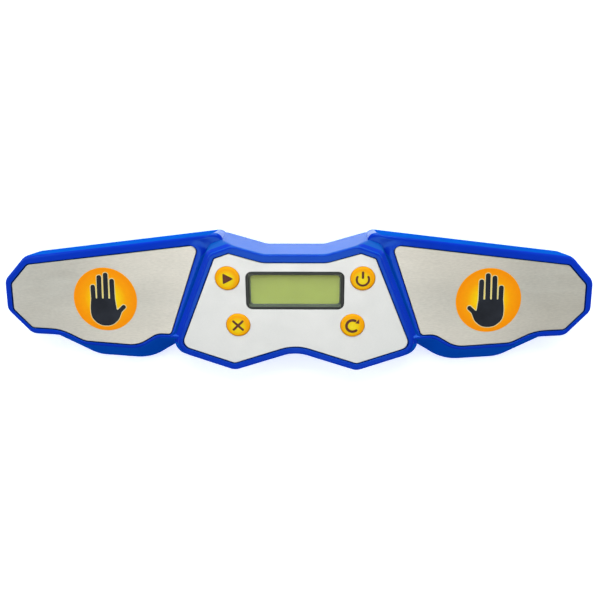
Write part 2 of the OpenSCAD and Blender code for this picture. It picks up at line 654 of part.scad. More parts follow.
// Contact blade at one end of the bay, with a dimple for a cell's cap or a leaf for its base
module blade(y) {
    block([bay_hw - blade_t, y - 4.2, cell_h - 4.4], [blade_t, 8.4, 8.6]);
}
module dimple(y) {
    block([bay_hw - blade_t - 0.4, y - contact_w / 2, cell_h - contact_w / 2], [0.5, contact_w, contact_w]);
}
module leaf(y) {
    translate([bay_hw - blade_t, y + contact_w / 2, cell_h]) rotate([90, 0, 0]) linear_extrude(contact_w) polygon([[0.1, -4.2],
        [-leaf_rise, -0.6], [-leaf_rise, 0.6], [-0.9, 4], [-0.6, 3.6], [-leaf_rise + 0.4, 0.4],
        [-leaf_rise + 0.4, -0.4], [0.1, -3.6]]);
}
module tab(y) {
    block([bay_hw - blade_t, y - 0.8, cell_h], [blade_t, 1.6, tab_top(y) - cell_h]);
}
module positive_contact() color(steel) on_table() to_side(-1) {
    blade(bay_y + cell_pitch / 2);
    dimple(bay_y + cell_pitch / 2);
    tab(bay_y + cell_pitch / 2);
}
module negative_contact() color(steel) on_table() to_side(-1) {
    blade(bay_y - cell_pitch / 2);
    leaf(bay_y - cell_pitch / 2);
    tab(bay_y - cell_pitch / 2);
}
module bridge_contact() color(steel) on_table() {
    blade(bay_y - cell_pitch / 2);
    dimple(bay_y - cell_pitch / 2);
    blade(bay_y + cell_pitch / 2);
    leaf(bay_y + cell_pitch / 2);
    block([bay_hw - blade_t, bay_y - cell_pitch / 2, cell_h - contact_w / 2], [blade_t, cell_pitch, contact_w]);
}

// ---- Fasteners and feet ---------------------------------------------------

module housing_screws() color(steel) on_table() both_sides() for (s = screw_places) translate([s.x, s.y, 0])
    difference() {
        union() {
            translate([0, 0, screw_seat - 1.6]) cylinder(r = screw_head_r, h = 1.6);
            translate([0, 0, screw_seat - 0.5]) cylinder(d = screw_d, h = screw_top - screw_seat + 0.5);
        }
        block([-0.35, -1.8, screw_seat - 2], [0.7, 3.6, 1.2]);
        block([-1.8, -0.35, screw_seat - 2], [3.6, 0.7, 1.2]);
    }
module foot(p) color([0.1, 0.1, 0.11]) on_table() translate([p.x, p.y, 0]) rotate_extrude()
    polygon([[0, 0], [foot_d / 2 - 0.6, 0], [foot_d / 2 - 0.15, 0.45], [foot_d / 2 - 0.15, belly_h + foot_seat],
        [0, belly_h + foot_seat]]);
module left_front_foot() foot(mirror_x(foot_front));
module left_rear_foot() foot(mirror_x(foot_rear));
module right_front_foot() foot(foot_front);
module right_rear_foot() foot(foot_rear);
module console_left_foot() foot(mirror_x(foot_middle));
module console_right_foot() foot(foot_middle);

upper_housing();
lower_housing();
face_plate();
left_touch_plate();
right_touch_plate();
display_bezel();
display_window();
display_glass();
display_holder();
front_zebra_strip();
rear_zebra_strip();
play_button();
power_button();
cancel_button();
reset_button();
play_switch();
power_switch();
cancel_switch();
reset_switch();
play_plunger();
power_plunger();
cancel_plunger();
reset_plunger();
main_board();
controller_chip();
crystal();
board_screws();
left_touch_lead();
right_touch_lead();
left_lead_nut();
right_lead_nut();
battery_door();
front_cell();
rear_cell();
positive_contact();
negative_contact();
bridge_contact();
housing_screws();
left_front_foot();
left_rear_foot();
right_front_foot();
right_rear_foot();
console_left_foot();
console_right_foot();
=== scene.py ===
"""Speed cube timer: a tilted display console between two metal-topped touch wings.

Shapes are worked out in millimetres with y = 0 midway between the two rows of buttons, and go into the
meshes in metres, moved by SHIFT to the frame's origin.
"""
import math

import bpy
import numpy as np
from mathutils import Matrix, Vector


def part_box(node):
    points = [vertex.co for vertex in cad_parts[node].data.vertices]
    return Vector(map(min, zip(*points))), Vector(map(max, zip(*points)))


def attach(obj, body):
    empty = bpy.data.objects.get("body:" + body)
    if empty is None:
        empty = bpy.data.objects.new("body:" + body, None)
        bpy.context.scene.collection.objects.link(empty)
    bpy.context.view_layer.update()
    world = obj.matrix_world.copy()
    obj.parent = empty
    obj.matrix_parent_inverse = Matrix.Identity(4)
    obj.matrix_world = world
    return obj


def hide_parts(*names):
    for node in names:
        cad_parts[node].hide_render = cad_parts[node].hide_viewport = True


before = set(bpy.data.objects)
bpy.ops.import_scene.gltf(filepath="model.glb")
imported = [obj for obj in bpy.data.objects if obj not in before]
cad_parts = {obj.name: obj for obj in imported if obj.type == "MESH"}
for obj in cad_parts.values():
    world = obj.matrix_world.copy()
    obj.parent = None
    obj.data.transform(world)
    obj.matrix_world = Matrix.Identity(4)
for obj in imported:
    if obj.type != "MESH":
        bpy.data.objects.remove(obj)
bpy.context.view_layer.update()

MM = 0.001
ARC_STEPS = 10          # steps in a corner's arc
STRAIGHT_POINTS = 2     # points between two corners
SHARP = math.radians(32)

# ---- Sizes in millimetres, the same as the solids' -------------------------------------------------------
FACE_H, FACE_TILT = 22.7, math.radians(6.5)     # the face's plane: its height at y = 0 and its tilt
WING_H, WING_ROLL = 21.5, math.radians(1.8)     # the wings' planes: their height at x = 0 and their roll
BELLY_H, SPLIT_H, FLOOR_H, WALL, DECK_T = 1.2, 4.6, 3.2, 2.2, 1.5
PLATE_SINK, FACE_PLATE_T, TOUCH_PLATE_T, GAP = 0.4, 0.5, 0.8, 0.2
FACE_DECK, WING_DECK = PLATE_SINK + FACE_PLATE_T, PLATE_SINK + TOUCH_PLATE_T

# Face plate, its right half from the notch at the front to the rear edge; rims and feet go edge by edge.
FACE_HALF = np.array([[0, -22.5], [30.9, -32.8], [57.2, -23.4], [38.6, 21.7], [31.6, 24.2], [15.6, 19.6]])
FACE_CORNERS = np.concatenate([FACE_HALF, FACE_HALF[:0:-1] * [-1, 1]])
FACE_RADII = np.array([23, 3, 4, 1.2, 1.2, 15, 15, 1.2, 1.2, 4, 3.0])
FACE_RIMS = np.array([4.0, 4.0, 3.1, 3.1, 4.5, 4.5, 4.5, 3.1, 3.1, 4.0, 4.0])
FACE_ROUND = 1.0
CONSOLE_FEET = np.array([1.4, 1.4, 2.4, 6, 2.3, 2.3, 2.3, 6, 2.4, 1.4, 1.4])
FLANKS, SHOULDERS = [2, 8], [3, 7]
WAISTS = {0.72: (2.4, 4.0), 0.88: (1.9, 1.7)}   # share of the height: reach of the flanks and the shoulders

# Right touch plate, from its inner rear corner round: edge 0 is the inner one, which faces the console.
PLATE_CORNERS = np.array([[47.0, 27.6], [62.8, -17.3], [69.6, -17.0], [80.0, -23.3], [107.3, -21.4],
    [119.2, -15.4], [133.7, -14.7], [142.6, -5.2], [142.3, 7.8], [133.3, 17.4]])
PLATE_RADII = np.array([2.6, 2, 9, 15, 10, 25, 2.6, 2.6, 2.6, 2.6])
WING_REACH = 11.0
WING_RIMS = np.array([WING_REACH, 2.8, 2.8, 2.8, 2.8, 3.4, 2.6, 3.4, 3.8, 4.9])
WING_FEET = np.array([WING_REACH, 9, 11, 11, 9, 6, 3, 3.4, 3.8, 4.9])
WING_ROLLS = np.array([0, 1.15, 1.15, 1.15, 1.15, 1.2, 0.9, 1.0, 1.0, 2.0])
WING_SHOULDER_R, RIDGE_CORNER_R = 4.0, 5.5
VALLEY_DEPTH, VALLEY_IN = 1.3, 3.6     # the valley's depth and the width of its floor
RIM_END = 0.74                         # reach where the flat rim ends
RIDGE, RIDGE_SLOPE = np.array([2.7, 1.1]), np.array([2.2, 1.8])     # reach and slope at edge 0's two ends

# Down a plate's pocket: reach beyond the plate, drop, and the least radius at the wing's inner corner.
POCKET_LIP = [(0.7, 0, 3.2), (0.66, 0.01, 3.1), (0.6, 0.05, 3.0), (0.56, 0.13, 2.9), (0.55, 0.28, 2.8)]

BUTTONS = {"play": (-32.7, 12.1), "power": (32.7, 12.1), "cancel": (-28.3, -12.1), "reset": (28.3, -12.1)}
BUTTON_R, CAP_TOP, CAP_ROUND, CAP_CROWN = 6.0, 0.6, 1.0, 0.25
DECK_CLEAR, CAP_CLEAR = 0.3, 0.12     # round a cap, in the deck and in the face plate
FLANGE_DROP, FLANGE_T, FLANGE_R, STEM_R, STEM_DROP = 2.55, 0.6, 6.9, 1.5, 3.4

DISPLAY_Y, BEZEL_W, BEZEL_H, BEZEL_BAND, BEZEL_R = 5.8, 47.6, 19.0, 1.6, 3.2
BEZEL_LIP, BEZEL_LIP_T, BEZEL_FOOT, WINDOW_DROP, WINDOW_SEAT = 1.0, 0.7, 2.4, 2.0, 0.5

DISC, DISC_R = np.array([95.0, 0.25]), 16.1
STUD, STUD_R, STUD_L, STUD_CLEAR = (67.0, 7.0), 1.5, 6.7, 0.5
SCREWS = [(127, 1), (63, 15), (45, -19)]
BOSS_R, PAD_TOP, PILOT_R, PILOT_L = 3.2, SPLIT_H + 0.8, 1.25, 7.0
SOCKET_R, SCREW_HOLE_R, SCREW_HEAD_R, SCREW_HEAD_SINK = 4.2, 1.5, 2.8, 2.2
BOARD_SCREWS = [(-35.4, -1), (35.4, -1), (-12, -13.2), (12, -13.2)]
BOARD_POST_R, BOARD_POST_DROP, BOARD_PILOT_R, BOARD_PILOT_DROP = 2.6, 5.8, 0.95, 6.7
FEET = {"front_foot": (90, -22), "rear_foot": (116, 11), "foot": (20, -19.5)}
FOOT_SEAT_R, FOOT_SEAT = 5.5, 0.8
BAY_Y, BAY_HW, BAY_HL, BAY_WALL, BAY_TOP, CEILING_T = 6.9, 25.45, 10.9, 2.0, 13.7, 1.0
DOOR_HW, DOOR_HL, DOOR_T = 26.45, 11.9, 1.5
HOOK_XS, HOOK_HW, LATCH_HW, SLOT_H = (-14, 14), 3.4, 5.6, 5.4
HOOK_REACH, HOOK_POCKET_H = 2.2, 3.4
TAB_X, TAB_YS, TAB_HW = -25.25, (-5.4, 5.4), 1.2     # the contacts' tabs in the bay's ceiling
SCOOP_R, SCOOP_BACK, SCOOP_DEPTH = 6.0, 2.5, 0.9

foot_low, foot_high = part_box("console_left_foot")
SHIFT = np.array([0, (foot_low[1] + foot_high[1]) / 2 / MM - FEET["foot"][1], 0])


# ---- Outlines --------------------------------------------------------------------------------------------
def grow(corners, reach):
    """Outline whose edge i moves outwards by reach[i], or by reach[i, 0] to reach[i, 1] from start to end.

    Each new corner is where the moved edge before it crosses the one after it.
    """
    corners = np.asarray(corners, float)
    reach = np.broadcast_to(np.asarray(reach, float).T, (2, len(corners))).T
    ahead = np.roll(corners, -1, 0)
    along = (ahead - corners) / np.linalg.norm(ahead - corners, axis=1)[:, None]
    normal = np.stack([along[:, 1], -along[:, 0]], 1)
    start, end = corners + normal * reach[:, :1], ahead + normal * reach[:, 1:]
    along = (end - start) / np.linalg.norm(end - start, axis=1)[:, None]
    normal = np.stack([along[:, 1], -along[:, 0]], 1)
    far = (normal * start).sum(1)
    before, near = np.roll(normal, 1, 0), np.roll(far, 1)
    area = before[:, 0] * normal[:, 1] - before[:, 1] * normal[:, 0]
    x, y = near * normal[:, 1] - far * before[:, 1], far * before[:, 0] - near * normal[:, 0]
    return np.stack([x, y], 1) / area[:, None]


def rounded(corners, radii):
    """Anticlockwise outline with an arc of radii[i] at corner i and evenly spread points on each straight.

    The arc's centre lies on the corner's bisector, and its points turn about it from straight to straight.
    """
    corners = np.asarray(corners, float)
    back, ahead = np.roll(corners, 1, 0) - corners, np.roll(corners, -1, 0) - corners
    back_l, ahead_l = np.linalg.norm(back, axis=1), np.linalg.norm(ahead, axis=1)
    u, v = back / back_l[:, None], ahead / ahead_l[:, None]
    half = np.arccos(np.clip((u * v).sum(1), -1, 1)) / 2
    longest = 0.48 * np.minimum(back_l, ahead_l)
    tangent = np.minimum(np.broadcast_to(radii, len(corners)) / np.tan(half), longest)
    bisector = (u + v) / np.linalg.norm(u + v, axis=1)[:, None]
    centre = corners + bisector * (tangent / np.cos(half))[:, None]
    sweep = np.sign(ahead[:, 0] * back[:, 1] - ahead[:, 1] * back[:, 0]) * (math.pi - 2 * half)
    angle = sweep[:, None] * np.linspace(0, 1, ARC_STEPS + 1)
    spoke = corners + u * tangent[:, None] - centre
    c, s = np.cos(angle), np.sin(angle)
    x, y = spoke[:, :1], spoke[:, 1:]
    arc = centre[:, None] + np.stack([x * c - y * s, x * s + y * c], 2)
    share = np.linspace(0, 1, STRAIGHT_POINTS + 2)[1:-1, None]
    start, end = arc[:, -1:], np.roll(arc[:, :1], -1, 0)
    return np.concatenate([arc, start + (end - start) * share], 1).reshape(-1, 2)


def spread(values):
    """Values given edge by edge, for every point of a rounded outline: arcs blend from edge to edge."""
    values = np.asarray(values, float)
    t = np.linspace(0, 1, ARC_STEPS + 1)
    t = t * t * (3 - 2 * t)
    arc = np.roll(values, 1)[:, None] * (1 - t) + values[:, None] * t
    return np.concatenate([arc, np.repeat(values[:, None], STRAIGHT_POINTS, 1)], 1).ravel()


def grown_radii(corners, radii, reach):
    """Corner radii of a grown outline: wider where the outline turns outwards, tighter where it turns in."""
    back, ahead = corners - np.roll(corners, 1, 0), np.roll(corners, -1, 0) - corners
    turn = np.sign(back[:, 0] * ahead[:, 1] - back[:, 1] * ahead[:, 0])
    reach = np.asarray(reach, float)
    return np.maximum(radii + turn * (np.roll(reach, 1) + reach) / 2, 0.3)


def box_outline(width, height, radius):
    """Rounded rectangle about the origin."""
    corners = np.array([[-1, -1], [1, -1], [1, 1], [-1, 1]]) * [width / 2, height / 2]
    return rounded(corners, radius)


def circle(radius, centre, steps=48):
    """Round outline."""
    angle = np.arange(steps) * 2 * math.pi / steps
    return np.stack([np.cos(angle), np.sin(angle)], 1) * radius + centre


def display_outline(reach, radius=BEZEL_R):
    """The bezel's outline, grown by reach."""
    return box_outline(BEZEL_W + 2 * reach, BEZEL_H + 2 * reach, radius) + [0, DISPLAY_Y]


# ---- Planes ----------------------------------------------------------------------------------------------
def level(outline, height):
    """Outline at one height, or each of its points at a height of its own."""
    return np.concatenate([outline, np.broadcast_to(height, len(outline))[:, None]], 1)


def on_face(outline, drop):
    """Outline in the plane of the console's face, let down below it by drop."""
    x, y = np.asarray(outline, float).T
    w = -np.broadcast_to(drop, x.shape)
    c, s = math.cos(FACE_TILT), math.sin(FACE_TILT)
    return np.stack([x, y * c - w * s, FACE_H + y * s + w * c], 1)


def on_wing(outline, drop):
    """Outline in the plane of the right wing's face, let down below it by drop."""
    x, y = np.asarray(outline, float).T
    w = -np.broadcast_to(drop, x.shape)
    c, s = math.cos(WING_ROLL), math.sin(WING_ROLL)
    return np.stack([x * c + w * s, y, WING_H - x * s + w * c], 1)


# ---- Solids: each is (points, faces) ---------------------------------------------------------------------
def loft(rings, closed=False):
    """Quads from each ring to the next, with a flat face on both ends, or closed from last to first."""
    rings = np.asarray(rings)
    count, n = rings.shape[:2]
    k, i = np.meshgrid(np.arange(count - (0 if closed else 1)), np.arange(n), indexing="ij")
    j, up = (i + 1) % n, (k + 1) % count
    faces = np.stack([k * n + i, k * n + j, up * n + j, up * n + i], -1).reshape(-1, 4).tolist()
    if not closed:
        faces += [list(range(n - 1, -1, -1)), list(range((count - 1) * n, count * n))]
    return rings.reshape(-1, 3), faces


def mirrored(solid):
    """The same solid on the other side of the middle, its faces turned the right way out."""
    points, faces = solid
    return points * [-1, 1, 1], [face[::-1] for face in faces]


def both(*solids):
    """The solids and their mirror images."""
    return [s for solid in solids for s in (solid, mirrored(solid))]


def on_side(side, solid):
    """The right wing's solid as it is, or its mirror image for the left."""
    return solid if side == "right" else mirrored(solid)


def prism(outline, low, high, place=level):
    """Straight solid of an outline between two heights, or two drops in a face's plane."""
    return loft([place(outline, low), place(outline, high)])


def block(low, size):
    """Box by its lowest corner and its size."""
    (x, y, z), (w, l, h) = low, size
    return prism(np.array([[x, y], [x + w, y], [x + w, y + l], [x, y + l]]), z, z + h)


def post(x, y, radius, low, high, place=level):
    """Round post or hole."""
    return prism(circle(radius, (x, y)), low, high, place)


def posts(places, radius, low, high, place=level):
    """The same post at several places."""
    return [post(x, y, radius, low, high, place) for x, y in places]


def turned(profile, centre, place, steps=72):
    """Profile of (radius, drop), bottom first, turned about an axis square to the plane."""
    return loft([place(circle(radius, centre, steps), drop) for radius, drop in profile])


# ---- Objects ---------------------------------------------------------------------------------------------
def make_object(name, solids):
    """One mesh object of several closed surfaces, moved to the frame's origin and brought to metres."""
    points, faces, first = [], [], 0
    for part_points, part_faces in solids:
        points.append(part_points)
        faces += [[first + i for i in face] for face in part_faces]
        first += len(part_points)
    mesh = bpy.data.meshes.new(name)
    mesh.from_pydata(((np.concatenate(points) + SHIFT) * MM).tolist(), [], faces)
    mesh.update()
    made = bpy.data.objects.new(name, mesh)
    bpy.context.scene.collection.objects.link(made)
    return made


def combine(made, operation, solids):
    """The object after a boolean with closed surfaces that don't touch one another."""
    tool = make_object("tool", solids)
    change = made.modifiers.new("change", "BOOLEAN")
    change.operation, change.object, change.solver = operation, tool, "EXACT"
    bpy.context.view_layer.update()
    graph = bpy.context.evaluated_depsgraph_get()
    mesh = bpy.data.meshes.new_from_object(made.evaluated_get(graph))
    made.modifiers.clear()
    old, made.data = made.data, mesh
    bpy.data.meshes.remove(old)
    spare = tool.data
    bpy.data.objects.remove(tool)
    bpy.data.meshes.remove(spare)


def dress(made, material, body, node=None):
    """Smooth shading apart from sharp edges, normals led by the large faces, a finish and a body to ride."""
    mesh = made.data
    mesh.materials.clear()
    mesh.materials.append(material)
    mesh.polygons.foreach_set("use_smooth", np.ones(len(mesh.polygons), bool))
    mesh.set_sharp_from_angle(angle=SHARP)
    lead = made.modifiers.new("normals", "WEIGHTED_NORMAL")
    lead.keep_sharp = True
    if node:
        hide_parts(node)
    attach(made, body)
    return made


def sort_faces(made, *picks):
    """More finishes for an object: each pick is a material and a test of the normals and centres in mm."""
    mesh = made.data
    fields = []
    for field in ("normal", "center"):
        values = np.empty(len(mesh.polygons) * 3)
        mesh.polygons.foreach_get(field, values)
        fields.append(values.reshape(-1, 3))
    index = np.zeros(len(mesh.polygons), int)
    for number, (material, test) in enumerate(picks, len(mesh.materials)):
        mesh.materials.append(material)
        index[test(fields[0], fields[1] / MM - SHIFT)] = number
    mesh.polygons.foreach_set("material_index", index)


CONSOLE_HALF = 46.0     # the console's rear wall reaches this far to each side
GAP_REACH = 0.6         # a wing's pocket ends this far beyond its plate


# Masks for painted shade and light: faces sloping to the user get the painted shade, faces sloping away get
# the painted light.
def to_user(normal, centre):
    """Faces that slope to the user, apart from nearly level ones."""
    return (normal[:, 1] < -0.12) & (normal[:, 2] < 0.9)


def from_user(normal, centre):
    """Faces that slope away from the user."""
    return (normal[:, 1] > 0.3) & (normal[:, 2] < 0.6)


def wing_rear(normal, centre):
    """The wings' rear walls."""
    return from_user(normal, centre) & (np.abs(centre[:, 0]) > CONSOLE_HALF)


def console_rear(normal, centre):
    """The console's rear wall and its shoulders."""
    return from_user(normal, centre) & (np.abs(centre[:, 0]) <= CONSOLE_HALF)


def pocket_faces(normal, drop, deck):
    """Upright faces between a rim and its deck, and the deck itself, by their drop below the rim's plane."""
    walls = (np.abs(normal[:, 2]) < 0.2) & (drop > 0.2) & (drop < deck - 0.1)
    return walls | ((normal[:, 2] > 0.97) & (abs(drop - deck) < 0.04))


def plate_gap_painted_shade(normal, centre):
    """Walls and floors of the plates' pockets, which get the painted shade; on the wings, only those close to
    the plate or under it.

    Beyond a plate's edge the cross product of the edge and the way to the centre, over the edge's length,
    is the distance from it. Past edges 0 and 9 a limit on it keeps the valley out.
    """
    x, y, z = centre.T
    wing_drop = (WING_H - z) * math.cos(WING_ROLL) - np.abs(x) * math.sin(WING_ROLL)
    face_drop = (FACE_H - z) * math.cos(FACE_TILT) + y * math.sin(FACE_TILT)
    wing = pocket_faces(normal, wing_drop, WING_DECK)
    for start, end in ((0, 1), (9, 0)):
        along = PLATE_CORNERS[end] - PLATE_CORNERS[start]
        beyond = (np.abs(x) - PLATE_CORNERS[start, 0]) * along[1] - (y - PLATE_CORNERS[start, 1]) * along[0]
        wing &= beyond < GAP_REACH * np.linalg.norm(along)
    return wing | pocket_faces(normal, face_drop, FACE_DECK)


# ---- Materials -------------------------------------------------------------------------------------------
def shaded(name, roughness, sockets):
    """New material with its Principled shader, whose sockets that are the same all over are set here."""
    made = bpy.data.materials.new(name)
    made.use_nodes = True
    shader = made.node_tree.nodes["Principled BSDF"]
    shader.inputs["Roughness"].default_value = roughness
    for key, value in sockets.items():
        shader.inputs[key].default_value = value
    return made, made.node_tree, shader


def pattern_place(tree, centre=(0, 0, 0), scale=(1, 1, 1)):
    """Object coordinates, moved so that centre is the origin, then scaled."""
    where = tree.nodes.new("ShaderNodeTexCoord")
    shift = tree.nodes.new("ShaderNodeMapping")
    shift.vector_type = "POINT"
    shift.inputs["Location"].default_value = -Vector(centre)
    size = tree.nodes.new("ShaderNodeMapping")
    size.inputs["Scale"].default_value = scale
    tree.links.new(where.outputs["Object"], shift.inputs["Vector"])
    tree.links.new(shift.outputs["Vector"], size.inputs["Vector"])
    return size.outputs["Vector"]


def noise(tree, place, scale, detail=3.0):
    """Noise from 0 to 1 whose grains are about 1 / scale metres."""
    made = tree.nodes.new("ShaderNodeTexNoise")
    made.inputs["Scale"].default_value = scale
    made.inputs["Detail"].default_value = detail
    tree.links.new(place, made.inputs["Vector"])
    return made.outputs["Fac"]


def ramp(tree, value, stops):
    """Colour by value, from (position, colour) stops."""
    made = tree.nodes.new("ShaderNodeValToRGB")
    points = made.color_ramp.elements
    while len(points) < len(stops):
        points.new(0.5)
    for point, (position, colour) in zip(points, stops):
        point.position, point.color = position, (*colour, 1)
    tree.links.new(value, made.inputs["Fac"])
    return made.outputs["Color"]


def between(tree, value, low, high, reach=(0.3, 0.7)):
    """The value's reach, which for a noise is its middle half, spread from low to high."""
    made = tree.nodes.new("ShaderNodeMapRange")
    for socket, number in zip(("From Min", "From Max", "To Min", "To Max"), (*reach, low, high)):
        made.inputs[socket].default_value = number
    tree.links.new(value, made.inputs["Value"])
    return made.outputs["Result"]


def blend(tree, share, first, second, mode="MIX"):
    """Mix of two colours."""
    made = tree.nodes.new("ShaderNodeMix")
    made.data_type, made.blend_type = "RGBA", mode
    for socket, value in zip((made.inputs[0], made.inputs[6], made.inputs[7]), (share, first, second)):
        if hasattr(value, "is_output"):
            tree.links.new(value, socket)
        else:
            socket.default_value = value if np.isscalar(value) else (*value, 1)
    return made.outputs[2]


def bump(tree, shader, height, strength, depth):
    """Bump of a height pattern, its depth in millimetres."""
    made = tree.nodes.new("ShaderNodeBump")
    made.inputs["Strength"].default_value = strength
    made.inputs["Distance"].default_value = depth * MM
    tree.links.new(height, made.inputs["Height"])
    tree.links.new(made.outputs["Normal"], shader.inputs["Normal"])


def grained(name, colour, roughness, vary=0.06, rough_vary=0.05, patch=60, grain=900, depth=0.02,
            strength=0.3, stretch=(1, 1, 1), speckle=0.03, **sockets):
    """Finish with slow patches of shade, a varying roughness and a fine grain in relief and in shade."""
    made, tree, shader = shaded(name, roughness, sockets)
    place = pattern_place(tree, scale=stretch)
    patches = noise(tree, place, patch)
    fine = noise(tree, place, grain, 2.0)
    dark, light = tuple(c * (1 - vary) for c in colour), tuple(min(c * (1 + vary), 1) for c in colour)
    shades = [(0.3, dark), (0.7, light)]
    speckled = blend(tree, between(tree, fine, 0, speckle), ramp(tree, patches, shades), (0, 0, 0))
    tree.links.new(speckled, shader.inputs["Base Color"])
    worn = between(tree, noise(tree, place, patch * 5), roughness - rough_vary, roughness + rough_vary)
    tree.links.new(worn, shader.inputs["Roughness"])
    bump(tree, shader, fine, strength, depth)
    return made


def radial(name, centre, radius, stops, roughness, **sockets):
    """Colour by the distance from a centre, as seen from above, in shares of the radius; a fine grain."""
    made, tree, shader = shaded(name, roughness, sockets)
    where = Vector(((np.array(centre) + SHIFT) * MM).tolist())
    place = pattern_place(tree, where, (1 / (radius * MM), 1 / (radius * MM), 0))
    length = tree.nodes.new("ShaderNodeVectorMath")
    length.operation = "LENGTH"
    tree.links.new(place, length.inputs[0])
    fine = noise(tree, pattern_place(tree), 700, 2.0)
    colour = ramp(tree, length.outputs["Value"], stops)
    speckled = blend(tree, between(tree, fine, 0.0, 0.05), colour, (0.25, 0.12, 0.02), "MULTIPLY")
    tree.links.new(speckled, shader.inputs["Base Color"])
    tree.links.new(between(tree, fine, roughness - 0.04, roughness + 0.05), shader.inputs["Roughness"])
    bump(tree, shader, fine, 0.15, 0.01)
    return made


TINT = {"Specular Tint": (0.2, 0.75, 1.0, 1)}
SATIN = {**TINT, "Specular IOR Level": 0.0}
PRINT = {"Specular IOR Level": 0.06}
CLEAR = {"Specular IOR Level": 0.2}
BEZEL_GLOSS = {"Specular IOR Level": 0.22}
# Painted shade and light: PAINTED_SHADE_BLUE is the housing's blue made more cyan for the shaded front
# slopes. LIT_BLUE and PAINTED_LIGHT_BACK_BLUE paint the light and reflection on the rear walls.
BLUE, PAINTED_SHADE_BLUE = (0.0012, 0.022, 0.38), (0.0012, 0.064, 0.42)
LIT_BLUE, PAINTED_LIGHT_BACK_BLUE = (0.002, 0.072, 0.37), (0.003, 0.072, 0.34)
blue = grained("glossy_blue", BLUE, 0.16, vary=0.05, rough_vary=0.04, patch=45, grain=1400, depth=0.004,
    strength=0.25, IOR=1.36, **TINT)
# Shaded and lit copies of the one blue plastic, told apart only by the way their faces look.
blue_front_painted_shade = grained("painted_shade_front_blue", PAINTED_SHADE_BLUE, 0.45, patch=45, grain=1800, depth=0.006, **SATIN)
blue_rear_painted_light = grained("painted_light_rear_blue", LIT_BLUE, 0.4, vary=0.08, patch=45, grain=1800, depth=0.006, **SATIN)
blue_back_painted_light = grained("painted_light_back_blue", PAINTED_LIGHT_BACK_BLUE, 0.22, patch=45, grain=1400, depth=0.005, IOR=1.25, **TINT)
# Painted shade: the blue housing's pocket walls and floors made nearly black, for the shade in the gaps round
# the plates.
blue_gap_painted_shade = grained("painted_shade_gap_blue", (0.001, 0.016, 0.15), 0.6, vary=0.1, grain=1400, depth=0.01, **PRINT)
blue_lower = grained("glossy_blue_lower", BLUE, 0.22, vary=0.05, grain=1400, depth=0.006, IOR=1.36, **TINT)
face_silver = grained("face_silver", (0.67, 0.64, 0.61), 0.42, vary=0.02, rough_vary=0.06, patch=35,
    grain=1600, depth=0.008, strength=0.35, Metallic=0.25)
touch_metal = grained("touch_metal", (0.60, 0.56, 0.49), 0.42, vary=0.03, rough_vary=0.06, patch=50,
    grain=1500, depth=0.012, strength=0.45, stretch=(0.35, 1.6, 1), speckle=0.12, Metallic=0.7,
    Anisotropic=0.4)
# Painted light: the black bezel's inner wall is coloured a lighter, greenish grey than the rest of the frame,
# for the light on it.
bezel_inner_painted_light = grained("bezel_inner_painted_light", (0.12, 0.13, 0.09), 0.5, vary=0.1, grain=1200, depth=0.01, **PRINT)
bezel_dark = grained("bezel_dark", (0.020, 0.021, 0.018), 0.34, vary=0.15, grain=1200, depth=0.01,
    **BEZEL_GLOSS)
window_clear = grained("window_clear", (0.75, 0.80, 0.70), 0.06, vary=0.02, rough_vary=0.02, Alpha=0.05,
    **CLEAR)
display_green = grained("display_green", (0.36, 0.41, 0.060), 0.5, vary=0.05, patch=90, grain=2500,
    depth=0.003, strength=0.2, **PRINT)
holder_white = grained("holder_white", (0.72, 0.72, 0.70), 0.5)
zebra = grained("zebra_rubber", (0.62, 0.26, 0.30), 0.6, vary=0.2, patch=900, stretch=(4, 0.2, 0.2))
switch_black = grained("switch_black", (0.02, 0.02, 0.022), 0.5, vary=0.2)
plunger_brown = grained("plunger_brown", (0.09, 0.05, 0.03), 0.45, vary=0.15)
board_green = grained("board_green", (0.012, 0.12, 0.035), 0.35, vary=0.35, patch=350, grain=2000)
chip_black = grained("chip_black", (0.015, 0.015, 0.016), 0.55, vary=0.2, grain=2500)
nickel = grained("nickel", (0.62, 0.61, 0.57), 0.28, vary=0.05, patch=200, Metallic=1.0)
zinc = grained("zinc_steel", (0.48, 0.49, 0.51), 0.36, vary=0.08, patch=250, Metallic=1.0)
lead_red = grained("lead_red", (0.5, 0.02, 0.012), 0.5, vary=0.1)
rubber = grained("foot_rubber", (0.012, 0.012, 0.013), 0.75, vary=0.2, grain=1300, depth=0.04, strength=0.5)
sleeve = grained("cell_sleeve", (0.05, 0.07, 0.085), 0.3, vary=0.15, patch=150, Metallic=0.4)
hand_black = grained("hand_black", (0.018, 0.019, 0.024), 0.5, vary=0.25, patch=120, grain=1800, depth=0.006,
    **PRINT)
hand_cream = grained("hand_cream", (0.66, 0.55, 0.26), 0.5, vary=0.05, patch=200, grain=1800, depth=0.006,
    **PRINT)
icon_brown = grained("icon_brown", (0.115, 0.036, 0.022), 0.4, vary=0.2, patch=500, grain=2200, depth=0.006,
    **PRINT)
BUTTON_AMBER = [(0, (0.82, 0.62, 0.02)), (0.5, (0.82, 0.53, 0.004)), (0.8, (0.84, 0.33, 0.001)),
    (1.05, (0.86, 0.33, 0.002))]
PALM_AMBER = [(0, (0.80, 0.60, 0.008)), (0.35, (0.81, 0.52, 0.004)), (0.66, (0.83, 0.29, 0.001)),
    (0.97, (0.82, 0.225, 0.001)), (1.0, (0.83, 0.33, 0.01))]

